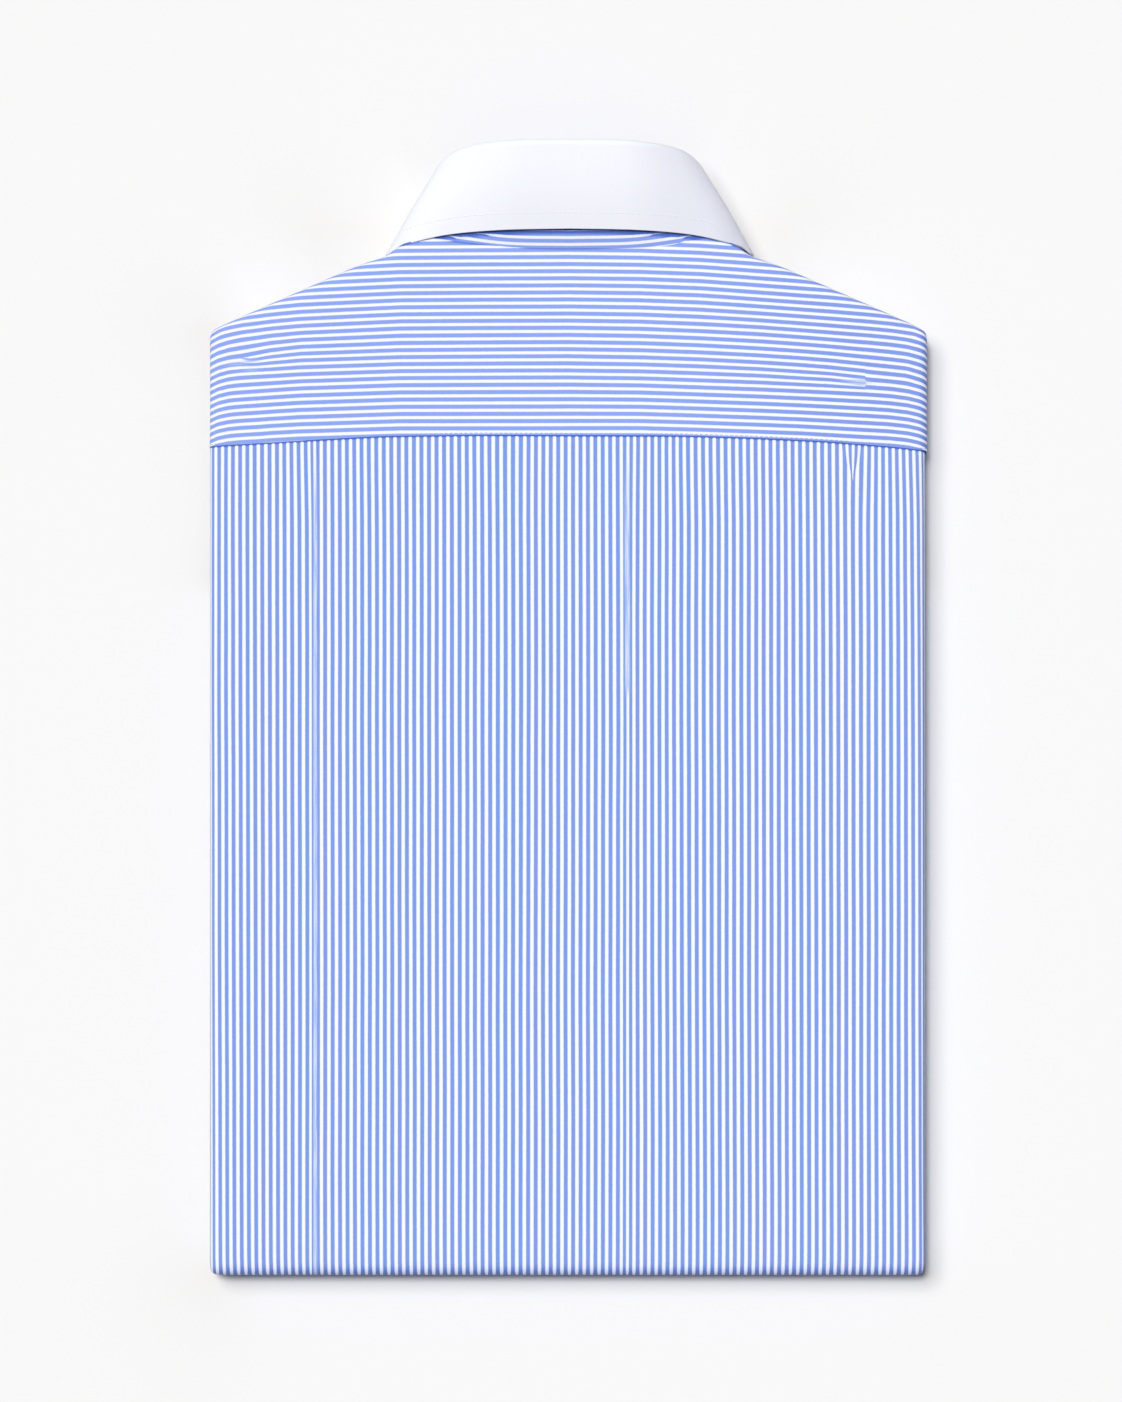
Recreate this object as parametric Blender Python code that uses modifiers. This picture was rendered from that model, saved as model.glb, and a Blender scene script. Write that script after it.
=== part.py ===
# A folded dress shirt, lying on its front with its back up.
#
# The sides and sleeves are turned in over the front, and the lower half is folded up under it.
# The stack is measured in millimetres: X across, Y towards the collar, Z up from the table.
# Each cloth piece is a wall, and the layers that nothing shows share one solid between the walls.

import math

import bmesh
import bpy
import numpy as np
from mathutils import Vector

# Cloth and gaps
METRES = 0.001
CLOTH = 1.5
GAP = 0.3
SEAM = 0.2

# The folded stack
HEIGHT = 26.0
MIDDLE = HEIGHT / 2
STACK = 12.85
EYE_STACK = 10.8
EYE_REACH = 14.0
HALF_WIDTH = 142.8
BOTTOM_Y = -227.3
TURN = 12.5
TURN_Y = BOTTOM_Y + TURN
TURN_POWER = 2.6
TURN_STEPS = 10
BACK_PARTS = (0.0, 0.33, 0.66)
TAIL_PARTS = (0.35, 0.7, 1.0)
EYE_PARTS = (1.0, 0.66, 0.33, 0.0)
ROLL = 7.5
ROLL_POWER = 2.4
ROLL_STEPS = 8
FLAP = 46.0
UNDER_Z = HEIGHT - STACK

# Pressed creases that run down the back, as a trough's place and its half width
CREASES = (-102.2, 23.4)
CREASE_HALF = 2.0
CREASE_DEPTH = 0.22
FLAT_COLUMNS = (-50.0, 0.0, 62.0, 100.0)

# The yoke seam: how far round the section from the centre, and its place along the back
SEAM_LINE = (
    ("round", "y"),
    (-200.0, 98.0),
    (-160.0, 102.6),
    (-143.0, 104.5),
    (-101.0, 107.0),
    (-74.0, 108.5),
    (-37.0, 109.0),
    (45.0, 108.6),
    (74.0, 107.7),
    (103.0, 106.2),
    (132.0, 103.8),
    (143.0, 102.5),
    (160.0, 100.4),
    (200.0, 95.6),
)

# The tail's curved hem on the underside
HEM_Y = 70.0
HEM_RISE = 22.0
HEM_POWER = 2.5

# The yoke's rows, from its seam up to the neck. Each runs from the centre of the back to the
# flat sheet's end, over the folded edge, and on under the shirt to the row's end.
YOKE_ROWS = (
    ("centre_y", "top_x", "top_y", "edge_x", "edge_y", "under_x", "under_y", "end_x", "end_y"),
    (125.0, 136.1, 122.0, 143.6, 121.6, 136.1, 121.0, 97.6, 108.0),
    (138.0, 136.1, 138.0, 143.6, 138.4, 136.1, 137.0, 97.6, 117.5),
    (144.0, 136.1, 144.6, 143.6, 148.6, 136.1, 144.0, 97.6, 124.5),
    (147.0, 135.8, 146.4, 142.9, 151.0, 135.6, 145.4, 130.5, 142.8),
    (149.0, 134.0, 147.4, 140.6, 152.5, 133.6, 147.0, 129.6, 144.6),
    (157.0, 122.0, 152.6, 125.0, 159.5, 122.0, 152.6, 116.1, 139.4),
    (163.0, 102.0, 161.5, 105.0, 168.3, 102.0, 161.5, 96.1, 148.2),
    (170.0, 82.0, 170.3, 85.0, 177.1, 82.0, 170.3, 76.1, 157.0),
    (177.0, 69.6, 175.4, 73.0, 181.1, 70.4, 174.4, 65.8, 162.0),
    (183.6, 56.0, 188.0, 64.2, 184.2, 64.2, 178.0, 62.6, 170.0),
)

YOKE_PARTS = (0.0, 0.17, 0.45, 0.73)

# The collar's stations, from the centre back round to the centre front: the neck seam, the fold
# at the top of the stand, and the outer edge of the leaf.
COLLAR = (
    ("seam_x", "seam_y", "seam_z", "fold_x", "fold_y", "fold_z", "edge_x", "edge_y", "edge_z"),
    (0.0, 184.1, 26.0, 0.0, 224.9, 40.0, 0.0, 191.5, 33.0),
    (25.0, 184.6, 26.0, 24.0, 224.4, 39.4, 26.0, 191.0, 32.8),
    (45.0, 187.0, 26.0, 41.5, 222.2, 36.6, 47.0, 189.5, 32.0),
    (57.0, 188.9, 24.8, 50.4, 217.6, 31.5, 62.0, 186.6, 29.4),
    (63.0, 186.2, 20.0, 53.4, 210.0, 24.5, 72.4, 183.3, 18.6),
    (61.4, 176.0, 13.6, 52.0, 197.0, 16.5, 73.6, 176.0, 9.8),
    (55.0, 150.0, 13.8, 43.0, 172.0, 10.2, 68.0, 136.0, 6.0),
    (38.0, 120.0, 13.8, 26.0, 148.0, 8.4, 59.0, 106.0, 3.2),
    (18.0, 103.0, 13.8, 10.0, 132.0, 7.8, 46.0, 81.0, 2.2),
    (0.0, 98.5, 13.8, 0.0, 128.0, 7.6, 30.0, 84.0, 2.2),
)
COLLAR_STEPS = 3
COLLAR_SHIFT = 0.5
COLLAR_LAP = 10.0
COLLAR_LAP_RISE = 2.0
LEAF_LAST = 8
LAP_REACH = 2
LEAF_GAP = 0.5
LEAF_BULGE = 1.2
STAND_STEPS = 5
LEAF_STEPS = 6
HOOK_ANGLES = (90.0, 60.0, 30.0, 0.0)

# Fronts, placket and button
FRONT_LOW_Y = 20.0
FRONT_PARTS = (0.0, 0.33, 0.66, 1.0)
FRONT_Z = UNDER_Z + CLOTH + GAP
FRONT_ROWS = (
    ("y", "inner_x", "outer_x"),
    (FRONT_LOW_Y, 0.0, 116.0),
    (60.0, 0.0, 116.0),
    (97.4, 0.0, 120.0),
    (102.0, 18.6, 122.0),
    (119.2, 39.0, 126.0),
    (133.2, 47.6, 128.0),
    (149.4, 56.2, 108.0),
    (165.6, 61.4, 80.0),
)
PLACKET_WIDTH = 34.0
PLACKET_TOP_Y = 97.0
BUTTON_RADIUS = 5.6
BUTTON_THICK = 2.4
BUTTON_HOLE_RADIUS = 0.8
BUTTON_HOLE_SPREAD = 1.5
BUTTON_SIDES = 24
BUTTON_HOLE_SIDES = 10
BUTTON_PROFILE = (
    ("radius", "height"),
    (0.0, 0.0),
    (0.8, 0.0),
    (1.0, 0.4),
    (0.94, 0.9),
    (0.82, 1.0),
    (0.62, 0.68),
    (0.0, 0.62),
)

# Sleeves, where they lie on the underside between the hem and the shoulder
SLEEVE_PLAN = ((77.0, 68.5), (136.0, 55.5), (137.0, 136.0), (84.0, 114.0))
SLEEVE_LOW_Z = 3.6
SLEEVE_ROUND = 3.4
SLEEVE_ROUND_STEPS = 3

# The layers that nothing shows
CORE_TOP = (
    ("x", "y"),
    (0.0, 92.0),
    (18.0, 96.0),
    (38.0, 112.0),
    (52.0, 138.0),
    (60.0, 143.0),
    (100.0, 143.0),
    (145.0, 139.0),
)
CORE_COLUMNS = (0.0, 18.0, 38.0, 52.0, 60.0, 100.0)
CORE_STEP_Y = 19.4
CORE_STEP = 0.8
FRONT_FULL = 0.8
CORE_HEM_INSET = 4.0
CORE_LAYERS = 4
LAYER_NOTCH = 1.6
CORE_EDGE = 1.4


def column(table, name):
    """One named column of a table whose first row holds the names."""
    place = table[0].index(name)
    return [row[place] for row in table[1:]]


def seam_y(round_x):
    return float(np.interp(round_x, column(SEAM_LINE, "round"), column(SEAM_LINE, "y")))


def hem_y(x):
    return HEM_Y - HEM_RISE * (abs(x) / HALF_WIDTH) ** HEM_POWER


def powered(value, power):
    return math.copysign(abs(value) ** (2 / power), value)


def roll_points(width, depth, steps=ROLL_STEPS):
    """A folded edge as (outwards, down) pairs, from the upper sheet round to the lower one."""
    points = []
    for step in range(steps + 1):
        angle = math.pi / 2 - math.pi * step / steps
        out = width * abs(math.cos(angle)) ** (2 / ROLL_POWER) if 0 < step < steps else 0.0
        points.append((out, depth / 2 * (1 - powered(math.sin(angle), ROLL_POWER))))
    return points


def along_back():
    """Stations from the yoke seam down the back, round the bottom fold and up under it."""
    turn = [("turn", math.pi / 2 - math.pi * k / TURN_STEPS) for k in range(1, TURN_STEPS)]
    near = [EYE_REACH * part for part in EYE_PARTS]
    upper = [("upper", part) for part in BACK_PARTS] + [("near", way) for way in near]
    under = [("far", way) for way in near[::-1]] + [("under", part) for part in TAIL_PARTS]
    return upper + turn + under


def place(x, station, depth, top_y, end_y):
    """The point that lies so deep in the stack, at a station of the path round the fold."""
    kind, value = station
    if kind == "upper":
        return (x, top_y + (TURN_Y + EYE_REACH - top_y) * value, HEIGHT - depth)
    if kind == "near":
        return (x, TURN_Y + value, HEIGHT - depth)
    if kind == "far":
        return (x, TURN_Y + value, depth)
    if kind == "under":
        return (x, TURN_Y + EYE_REACH + (end_y - TURN_Y - EYE_REACH) * value, depth)
    back = TURN * (MIDDLE - depth) / MIDDLE * abs(math.cos(value)) ** (2 / TURN_POWER)
    rise = (MIDDLE - depth) * powered(math.sin(value), TURN_POWER)
    return (x, TURN_Y - back, MIDDLE + rise)


def stack_depth(station):
    """The stack is as deep as half the shirt, and less by the eye of the bottom fold."""
    kind, value = station
    if kind == "turn":
        return EYE_STACK
    if kind in ("upper", "under"):
        return STACK
    ease = value / EYE_REACH
    return EYE_STACK + (STACK - EYE_STACK) * ease * ease * (3 - 2 * ease)


def body_between(name, outer, inner, material):
    """A closed body with one grid of points as its outer face and one as its inner face."""
    outer, inner = np.asarray(outer), np.asarray(inner)
    rows, columns = outer.shape[:2]
    mesh = bmesh.new()
    sides = [
        [[mesh.verts.new(Vector(point) * METRES) for point in row] for row in grid]
        for grid in (outer, inner)
    ]
    for grid, turned in zip(sides, (False, True)):
        for i in range(rows - 1):
            for j in range(columns - 1):
                face = [grid[i][j], grid[i + 1][j], grid[i + 1][j + 1], grid[i][j + 1]]
                mesh.faces.new(face[::-1] if turned else face)
    rim = [(i, 0) for i in range(rows)]
    rim += [(rows - 1, j) for j in range(1, columns)]
    rim += [(i, columns - 1) for i in range(rows - 2, -1, -1)]
    rim += [(0, j) for j in range(columns - 2, 0, -1)]
    for (i, j), (k, m) in zip(rim, rim[1:] + rim[:1]):
        mesh.faces.new([sides[0][k][m], sides[0][i][j], sides[1][i][j], sides[1][k][m]])
    bmesh.ops.recalc_face_normals(mesh, faces=mesh.faces)
    return finished(name, mesh, material)


def sheet(name, grid, material, thickness=CLOTH):
    """An open grid of points, thickened on the side away from its outer face."""
    grid = np.asarray(grid)
    rows, columns = grid.shape[:2]
    mesh = bmesh.new()
    verts = [[mesh.verts.new(Vector(point) * METRES) for point in row] for row in grid]
    for i in range(rows - 1):
        for j in range(columns - 1):
            mesh.faces.new([verts[i][j], verts[i][j + 1], verts[i + 1][j + 1], verts[i + 1][j]])
    piece = finished(name, mesh, material)
    wall = piece.modifiers.new("Cloth", "SOLIDIFY")
    wall.thickness = thickness * METRES
    wall.offset = -1
    wall.use_even_offset = True
    return piece


def finished(name, mesh, material):
    data = bpy.data.meshes.new(name)
    mesh.to_mesh(data)
    mesh.free()
    data.shade_smooth()
    data.set_sharp_from_angle(angle=math.radians(50))
    data.materials.append(material)
    piece = bpy.data.objects.new(name, data)
    SHIRT.objects.link(piece)
    return piece


def make_material(name, colour, roughness):
    material = bpy.data.materials.new(name)
    material.use_nodes = True
    shader = material.node_tree.nodes["Principled BSDF"]
    shader.inputs["Base Color"].default_value = (*colour, 1.0)
    shader.inputs["Roughness"].default_value = roughness
    shader.inputs["Metallic"].default_value = 0.0
    return material


def back_section(station):
    """The back's section: x, depth and the way round it from the centre, left end to right end."""
    depth = stack_depth(station)
    flat_end = HALF_WIDTH - ROLL
    pressed = CREASE_DEPTH if station[0] in ("upper", "near") else 0.0
    flat = [(x, 0.0) for x in FLAT_COLUMNS]
    for crease in CREASES:
        flat += [(crease - CREASE_HALF, 0.0), (crease, pressed), (crease + CREASE_HALF, 0.0)]
    edge = [(flat_end + out, down) for out, down in roll_points(ROLL, depth)]
    edge += [(HALF_WIDTH - FLAP / 2, depth), (HALF_WIDTH - FLAP, depth)]
    points = [(-x, down) for x, down in reversed(edge)] + sorted(flat) + edge
    lengths = [math.dist(a, b) for a, b in zip(points, points[1:])]
    middle = points.index((0.0, 0.0))
    way = np.concatenate([[0.0], np.cumsum(lengths)])
    return points, way - way[middle]


def make_back(material):
    rows = []
    for station in along_back():
        points, way = back_section(station)
        row = []
        for (x, depth), round_x in zip(points, way):
            end_y = hem_y(min(abs(round_x), HALF_WIDTH + FLAP / 2))
            row.append(place(x, station, depth, seam_y(round_x) - SEAM, end_y))
        rows.append(row)
    return sheet("back_panel", rows[::-1], material)


def yoke_row(row):
    """One row of the yoke, from its end under the left side, over the back, to the right."""
    centre_y, top_x, top_y, edge_x, edge_y, under_x, under_y, end_x, end_y = row
    neck = row is YOKE_ROWS[-1]
    half = []
    for part in YOKE_PARTS:
        bend = part * part if neck else part
        half.append((top_x * part, centre_y + (top_y - centre_y) * bend, HEIGHT))
    for out, down in roll_points(1.0, STACK):
        flat_x, flat_y = (top_x, top_y) if down <= STACK / 2 else (under_x, under_y)
        x = flat_x + (edge_x - flat_x) * out
        half.append((x, flat_y + (edge_y - flat_y) * out, HEIGHT - down))
    half.append(((under_x + end_x) / 2, (under_y + end_y) / 2, UNDER_Z))
    half.append((end_x, end_y, UNDER_Z))
    return [(-x, y, z) for x, y, z in reversed(half[1:])] + half


def seam_row():
    """The yoke's first row, which follows the seam round the section of the row above it."""
    points = yoke_row([value if place % 2 else 0.0 for place, value in enumerate(YOKE_ROWS[1])])
    lengths = [math.dist(a, b) for a, b in zip(points, points[1:])]
    way = np.concatenate([[0.0], np.cumsum(lengths)]) - sum(lengths) / 2
    return [(x, seam_y(round_x) + SEAM, z) for (x, y, z), round_x in zip(points, way)]


def make_yoke(material):
    rows = [seam_row()] + [yoke_row(row) for row in YOKE_ROWS[1:]]
    return sheet("yoke", rows, material)


def smoothed(points, steps):
    """A smooth line through the points, with the given steps between two of them."""
    points = np.asarray(points, float)
    ends = [2 * points[0] - points[1], 2 * points[-1] - points[-2]]
    padded = np.vstack([ends[0], points, ends[1]])
    line = []
    for i in range(1, len(padded) - 2):
        before, start, end, after = padded[i - 1 : i + 3]
        for step in range(steps):
            t = step / steps
            line.append(
                start
                + 0.5 * t * (end - before)
                + t * t * (before - 2.5 * start + 2 * end - 0.5 * after)
                + t**3 * (1.5 * (start - end) + 0.5 * (after - before))
            )
    line.append(padded[-2])
    return np.array(line)


def collar_ring():
    """Seam, fold and edge lines from the left front, round the back, to the right front."""
    half = smoothed(COLLAR[1:], COLLAR_STEPS).reshape(-1, 3, 3)
    mirror = np.array([-1.0, 1.0, 1.0])
    ring = np.concatenate([half[:0:-1] * mirror, half])
    ring[:, :, 0] += COLLAR_SHIFT
    return ring


def collar_frames(ring):
    """At each station the way up the stand and the way out of the ring."""
    along = np.gradient((ring[:, 0] + ring[:, 1]) / 2, axis=0)
    up = ring[:, 1] - ring[:, 0]
    up /= np.linalg.norm(up, axis=1, keepdims=True)
    out = np.cross(along, up)
    out /= np.linalg.norm(out, axis=1, keepdims=True)
    return up, out


def lap(count):
    """How far out the left end lies, so that it passes over the right end."""
    reach = LAP_REACH * COLLAR_STEPS
    part = np.clip(1 - (np.arange(count) - 1) / reach, 0, 1)
    return (CLOTH + GAP) * part * part * (3 - 2 * part)


def make_stand(material):
    ring = collar_ring()
    first, last = ring[0].copy(), ring[-1].copy()
    first += (COLLAR_LAP, COLLAR_LAP_RISE, 0.0)
    last += (-COLLAR_LAP, COLLAR_LAP_RISE, 0.0)
    ring = np.concatenate([[first], ring, [last]])
    up, out = collar_frames(ring)
    out[0], out[-1] = out[1], out[-2]
    rise = lap(len(ring))[:, None]
    rows = []
    for step in range(STAND_STEPS):
        part = step / (STAND_STEPS - 1)
        rows.append(ring[:, 0] + (ring[:, 1] - ring[:, 0]) * part + out * rise)
    return sheet("collar_stand", np.array(rows), material)


def make_leaf(material):
    whole = collar_ring()
    up, out = collar_frames(whole)
    rise = lap(len(whole) + 1)[1:, None]
    skip = len(whole) - 1 - (len(COLLAR) - 2 + LEAF_LAST) * COLLAR_STEPS
    keep = slice(skip, len(whole) - skip)
    ring, up, out, rise = whole[keep], up[keep], out[keep], rise[keep]
    top = ring[:, 1] + out * rise
    outer = [top - out * CLOTH + up * (CLOTH + LEAF_GAP)]
    inner = [top - out * CLOTH + up * LEAF_GAP]
    for angle in HOOK_ANGLES:
        way = up * math.sin(math.radians(angle)) + out * math.cos(math.radians(angle))
        outer.append(top + way * (CLOTH + LEAF_GAP))
        inner.append(top + way * LEAF_GAP)
    first = outer[-1]
    down = ring[:, 2] - first
    along = np.gradient((ring[:, 1] + ring[:, 2]) / 2, axis=0)
    face = np.cross(down, along)
    face /= np.linalg.norm(face, axis=1, keepdims=True)
    for step in range(1, LEAF_STEPS + 1):
        part = step / LEAF_STEPS
        swell = LEAF_BULGE * math.sin(math.pi * part)
        point = first + down * part + face * swell
        outer.append(point)
        inner.append(point - (out + (face - out) * min(part * 2, 1.0)) * CLOTH)
    return body_between("collar_leaf", outer, inner, material)


def make_front(name, side, material):
    rows = []
    for y, inner_x, outer_x in FRONT_ROWS[1:]:
        inner_x = max(inner_x, SEAM) + side * COLLAR_SHIFT * (inner_x > 0)
        xs = [inner_x + (outer_x - inner_x) * part for part in FRONT_PARTS]
        rows.append([(side * x, y, FRONT_Z) for x in xs])
    return sheet(name, rows if side < 0 else rows[::-1], material)


def make_placket(material):
    half = PLACKET_WIDTH / 2
    rows = [
        [(x, y, UNDER_Z + GAP / 2) for x in (-half, 0.0, half)]
        for y in (FRONT_LOW_Y, 60.0, PLACKET_TOP_Y)
    ]
    return sheet("placket", rows[::-1], material, CLOTH - GAP / 2)


def make_sleeve(name, side, material):
    """The stretch of a folded sleeve that shows on the underside, as a soft rounded slab."""
    mesh = bmesh.new()
    bmesh.ops.create_cube(mesh, size=2.0)
    low, high = SLEEVE_LOW_Z, UNDER_Z - GAP
    corners = dict(zip(((-1, -1), (1, -1), (1, 1), (-1, 1)), SLEEVE_PLAN))
    for vert in mesh.verts:
        x, y = corners[(round(vert.co.x), round(vert.co.y))]
        vert.co = Vector((side * x, y, high if vert.co.z > 0 else low)) * METRES
    if side < 0:
        bmesh.ops.reverse_faces(mesh, faces=mesh.faces)
    piece = finished(name, mesh, material)
    soft = piece.modifiers.new("Soft edges", "BEVEL")
    soft.width = SLEEVE_ROUND * METRES
    soft.segments = SLEEVE_ROUND_STEPS
    soft.limit_method = "NONE"
    return piece


def core_half(depth, full):
    return max((depth / 2 - CLOTH - GAP) * full, CORE_EDGE / 2)


def core_columns():
    """Half widths across the hidden layers, with how much of the full depth each has."""
    columns = [(x, 1.0) for x in CORE_COLUMNS]
    reach = ROLL - CLOTH - GAP
    flat_end = HALF_WIDTH - ROLL
    for out, down in roll_points(reach, 2.0)[: ROLL_STEPS // 2 + 1]:
        columns.append((flat_end + out, 1.0 - down))
    return columns


def core_line(x, full, lower):
    """One line of the hidden layers, from the neck end round the fold to the hem end."""
    top_y = float(np.interp(abs(x), column(CORE_TOP, "x"), column(CORE_TOP, "y")))
    end_y = hem_y(x) - CORE_HEM_INSET
    side = 1.0 if lower else -1.0
    front = CLOTH + GAP if lower and full > FRONT_FULL else 0.0
    points = []
    half = core_half(STACK, full)
    for y in (top_y, (top_y + CORE_STEP_Y) / 2, CORE_STEP_Y):
        points.append((x, y, HEIGHT - STACK / 2 - side * half + front))
    for station in along_back():
        depth = stack_depth(station)
        deep = depth / 2 + side * core_half(depth, full)
        points.append(place(x, station, deep, CORE_STEP_Y - CORE_STEP, end_y))
    for step in range(1, CORE_LAYERS * 2):
        level = half * (1 - step / (CORE_LAYERS * 2))
        notch = LAYER_NOTCH * full * full if step % 2 else 0.0
        points.append((x, end_y - notch, STACK / 2 + side * level))
    return points


def make_layers(material):
    half = core_columns()
    columns = [(-x, full) for x, full in reversed(half[1:])] + half
    outer = [core_line(x, full, False) for x, full in columns]
    inner = [core_line(x, full, True) for x, full in columns]
    return body_between("folded_layers", outer, inner, material)


def make_button(material):
    """The collar's button: turned, dished, with four holes cut through."""
    ring = collar_ring()
    up, out = collar_frames(ring)
    middle = (ring[0, 0] + ring[0, 1]) / 2
    normal = Vector(out[0])
    seat = Vector(middle) + normal * (CLOTH + 2 * GAP)
    mesh = bmesh.new()
    verts = []
    for radius, height in reversed(BUTTON_PROFILE[1:]):
        spot = Vector((BUTTON_RADIUS * radius, 0.0, BUTTON_THICK * height))
        verts.append(mesh.verts.new(spot * METRES))
    for a, b in zip(verts, verts[1:]):
        mesh.edges.new((a, b))
    button = finished("button_collar", mesh, material)
    turn = button.modifiers.new("Turned", "SCREW")
    turn.steps = turn.render_steps = BUTTON_SIDES
    turn.use_merge_vertices = True
    turn.merge_threshold = 0.00001
    holes = bmesh.new()
    for quarter in range(4):
        angle = math.pi / 4 + math.pi / 2 * quarter
        made = bmesh.ops.create_cone(
            holes,
            cap_ends=True,
            segments=BUTTON_HOLE_SIDES,
            radius1=BUTTON_HOLE_RADIUS * METRES,
            radius2=BUTTON_HOLE_RADIUS * METRES,
            depth=BUTTON_THICK * 3 * METRES,
        )
        spot = Vector((math.cos(angle), math.sin(angle), 0.0)) * BUTTON_HOLE_SPREAD
        bmesh.ops.translate(holes, verts=made["verts"], vec=spot * METRES)
    data = bpy.data.meshes.new("button_holes")
    holes.to_mesh(data)
    holes.free()
    cutter = bpy.data.objects.new("button_holes", data)
    CUTTERS.objects.link(cutter)
    cutter.hide_render = True
    cutter.display_type = "WIRE"
    cut = button.modifiers.new("Holes", "BOOLEAN")
    cut.operation = "DIFFERENCE"
    cut.object = cutter
    for piece in (button, cutter):
        piece.location = seat * METRES
        piece.rotation_mode = "QUATERNION"
        piece.rotation_quaternion = normal.to_track_quat("Z", "Y")
    return button


def new_collection(name):
    collection = bpy.data.collections.new(name)
    bpy.context.scene.collection.children.link(collection)
    return collection


for old in list(bpy.data.objects):
    bpy.data.objects.remove(old, do_unlink=True)

SHIRT = new_collection("Folded dress shirt")
CUTTERS = new_collection("Cutters")
striped = make_material("striped_cotton", (0.46, 0.58, 0.93), 0.85)
white = make_material("white_cotton", (0.93, 0.93, 0.97), 0.8)
pearl = make_material("pearl_button", (0.9, 0.89, 0.86), 0.25)

make_back(striped)
make_yoke(striped)
make_stand(striped)
make_leaf(white)
make_front("front_left", -1, striped)
make_front("front_right", 1, striped)
make_placket(striped)
make_sleeve("sleeve_left", -1, striped)
make_sleeve("sleeve_right", 1, striped)
make_layers(striped)
make_button(pearl)
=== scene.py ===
import bpy
import bmesh
import math
import numpy as np
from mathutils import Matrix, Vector


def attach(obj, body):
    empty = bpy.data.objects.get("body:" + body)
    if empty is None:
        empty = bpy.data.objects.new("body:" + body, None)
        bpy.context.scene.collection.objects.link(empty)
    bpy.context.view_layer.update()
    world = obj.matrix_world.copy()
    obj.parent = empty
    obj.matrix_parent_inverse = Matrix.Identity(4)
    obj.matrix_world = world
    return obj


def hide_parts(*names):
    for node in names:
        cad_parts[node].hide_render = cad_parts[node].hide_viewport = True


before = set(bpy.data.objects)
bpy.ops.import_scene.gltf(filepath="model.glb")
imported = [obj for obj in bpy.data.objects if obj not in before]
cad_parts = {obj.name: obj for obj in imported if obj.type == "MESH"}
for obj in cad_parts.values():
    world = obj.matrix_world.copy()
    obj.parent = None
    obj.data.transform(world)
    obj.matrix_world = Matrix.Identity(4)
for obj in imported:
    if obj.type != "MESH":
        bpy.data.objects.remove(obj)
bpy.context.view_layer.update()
bpy.ops.object.select_all(action="DESELECT")
print("frame loaded:", ", ".join(sorted(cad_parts)))

mm = 0.001

# How the shirt lies folded, in millimetres. The back's cloth runs from the yoke down the top,
# round the bottom fold and up under the shirt, and all the layers follow it.
fold = {
    "height": 26.0,
    "stack": 12.85,
    "eyeStack": 10.8,
    "eyeReach": 14.0,
    "halfWidth": 142.8,
    "bottomY": -227.3,
    "turn": 12.5,
    "turnPower": 4.6,
    "roll": 7.5,
    "rollPower": 4.6,
    "flap": 46.0,
    "upperLength": 310.0,
    "underLength": 270.0,
    "hemY": 70.0,
    "hemRise": 22.0,
    "hemPower": 2.5,
}
foldMiddle = fold["height"] / 2
turnY = fold["bottomY"] + fold["turn"]
underZ = fold["height"] - fold["stack"]

# The stripes: the repeat, the width of the white ones, where they start, the blues of the dye
# lots, and how blue the paler cloth, under the painted crease highlights and on the puckers, is
# where it is palest and deepest
backWeave = {
    "repeat": 2.962,
    "white": 1.37,
    "phase": 0.18,
    "blues": ((0.198, 0.324, 0.855), (0.232, 0.312, 0.858), (0.172, 0.342, 0.868)),
    "paleRange": (0.32, 0.80),
}
yokeWeave = {
    "repeat": 2.84,
    "white": 1.21,
    "phase": -0.12,
    "blues": ((0.265, 0.378, 0.872), (0.282, 0.372, 0.872), (0.252, 0.388, 0.874)),
    "paleRange": (0.3, 0.85),
}
standWeave = {**yokeWeave, "phase": 1.5, "paleRange": (0.32, 0.80)}
# the dyes; the deep blue and the shaded white are painted shade, and the pale blue is the painted highlight
# along the creases and on the paler puckers
dyes = {
    "shadeBlue": (0.045, 0.11, 0.50),
    "paleAndHighlightBlue": (0.19, 0.395, 0.91),
    "white": (0.927, 0.936, 0.965),
    "shadedWhite": (0.77, 0.835, 0.99),
}


def smoothStep(value):
    value = np.clip(value, 0.0, 1.0)
    return value * value * (3 - 2 * value)


def bump(value):
    # a soft hump, 1 in the middle and 0 from -1 and 1 on
    return smoothStep(1 - np.abs(value))


def powered(value, power):
    return np.sign(value) * np.abs(value) ** (2 / power)


def noiseLine(value, seed):
    # a gentle wander that never repeats over the length of the shirt
    return (
        np.sin(value * 0.031 + seed * 1.7)
        + 0.6 * np.sin(value * 0.077 + seed * 3.1)
        + 0.35 * np.sin(value * 0.173 + seed * 5.3)
    ) / 1.95


def wayAlong(line):
    # how far along the line each of its points lies
    return np.concatenate([[0], np.cumsum(np.linalg.norm(np.diff(line, axis=0), axis=1))])


def wayFromMiddle(line):
    way = wayAlong(line)
    return way - way[len(way) // 2]


def clothNormals(grid):
    # rows run down the shirt and columns across it, so this points out of the cloth
    down = np.gradient(grid, axis=0)
    across = np.gradient(grid, axis=1)
    normal = np.cross(down, across)
    return normal / np.maximum(np.linalg.norm(normal, axis=2, keepdims=True), 1e-9)


def gridFaces(table):
    # a face between each four neighbours
    return np.stack([
        table[:-1, :-1].ravel(), table[1:, :-1].ravel(), table[1:, 1:].ravel(), table[:-1, 1:].ravel(),
    ], axis=1)


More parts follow.
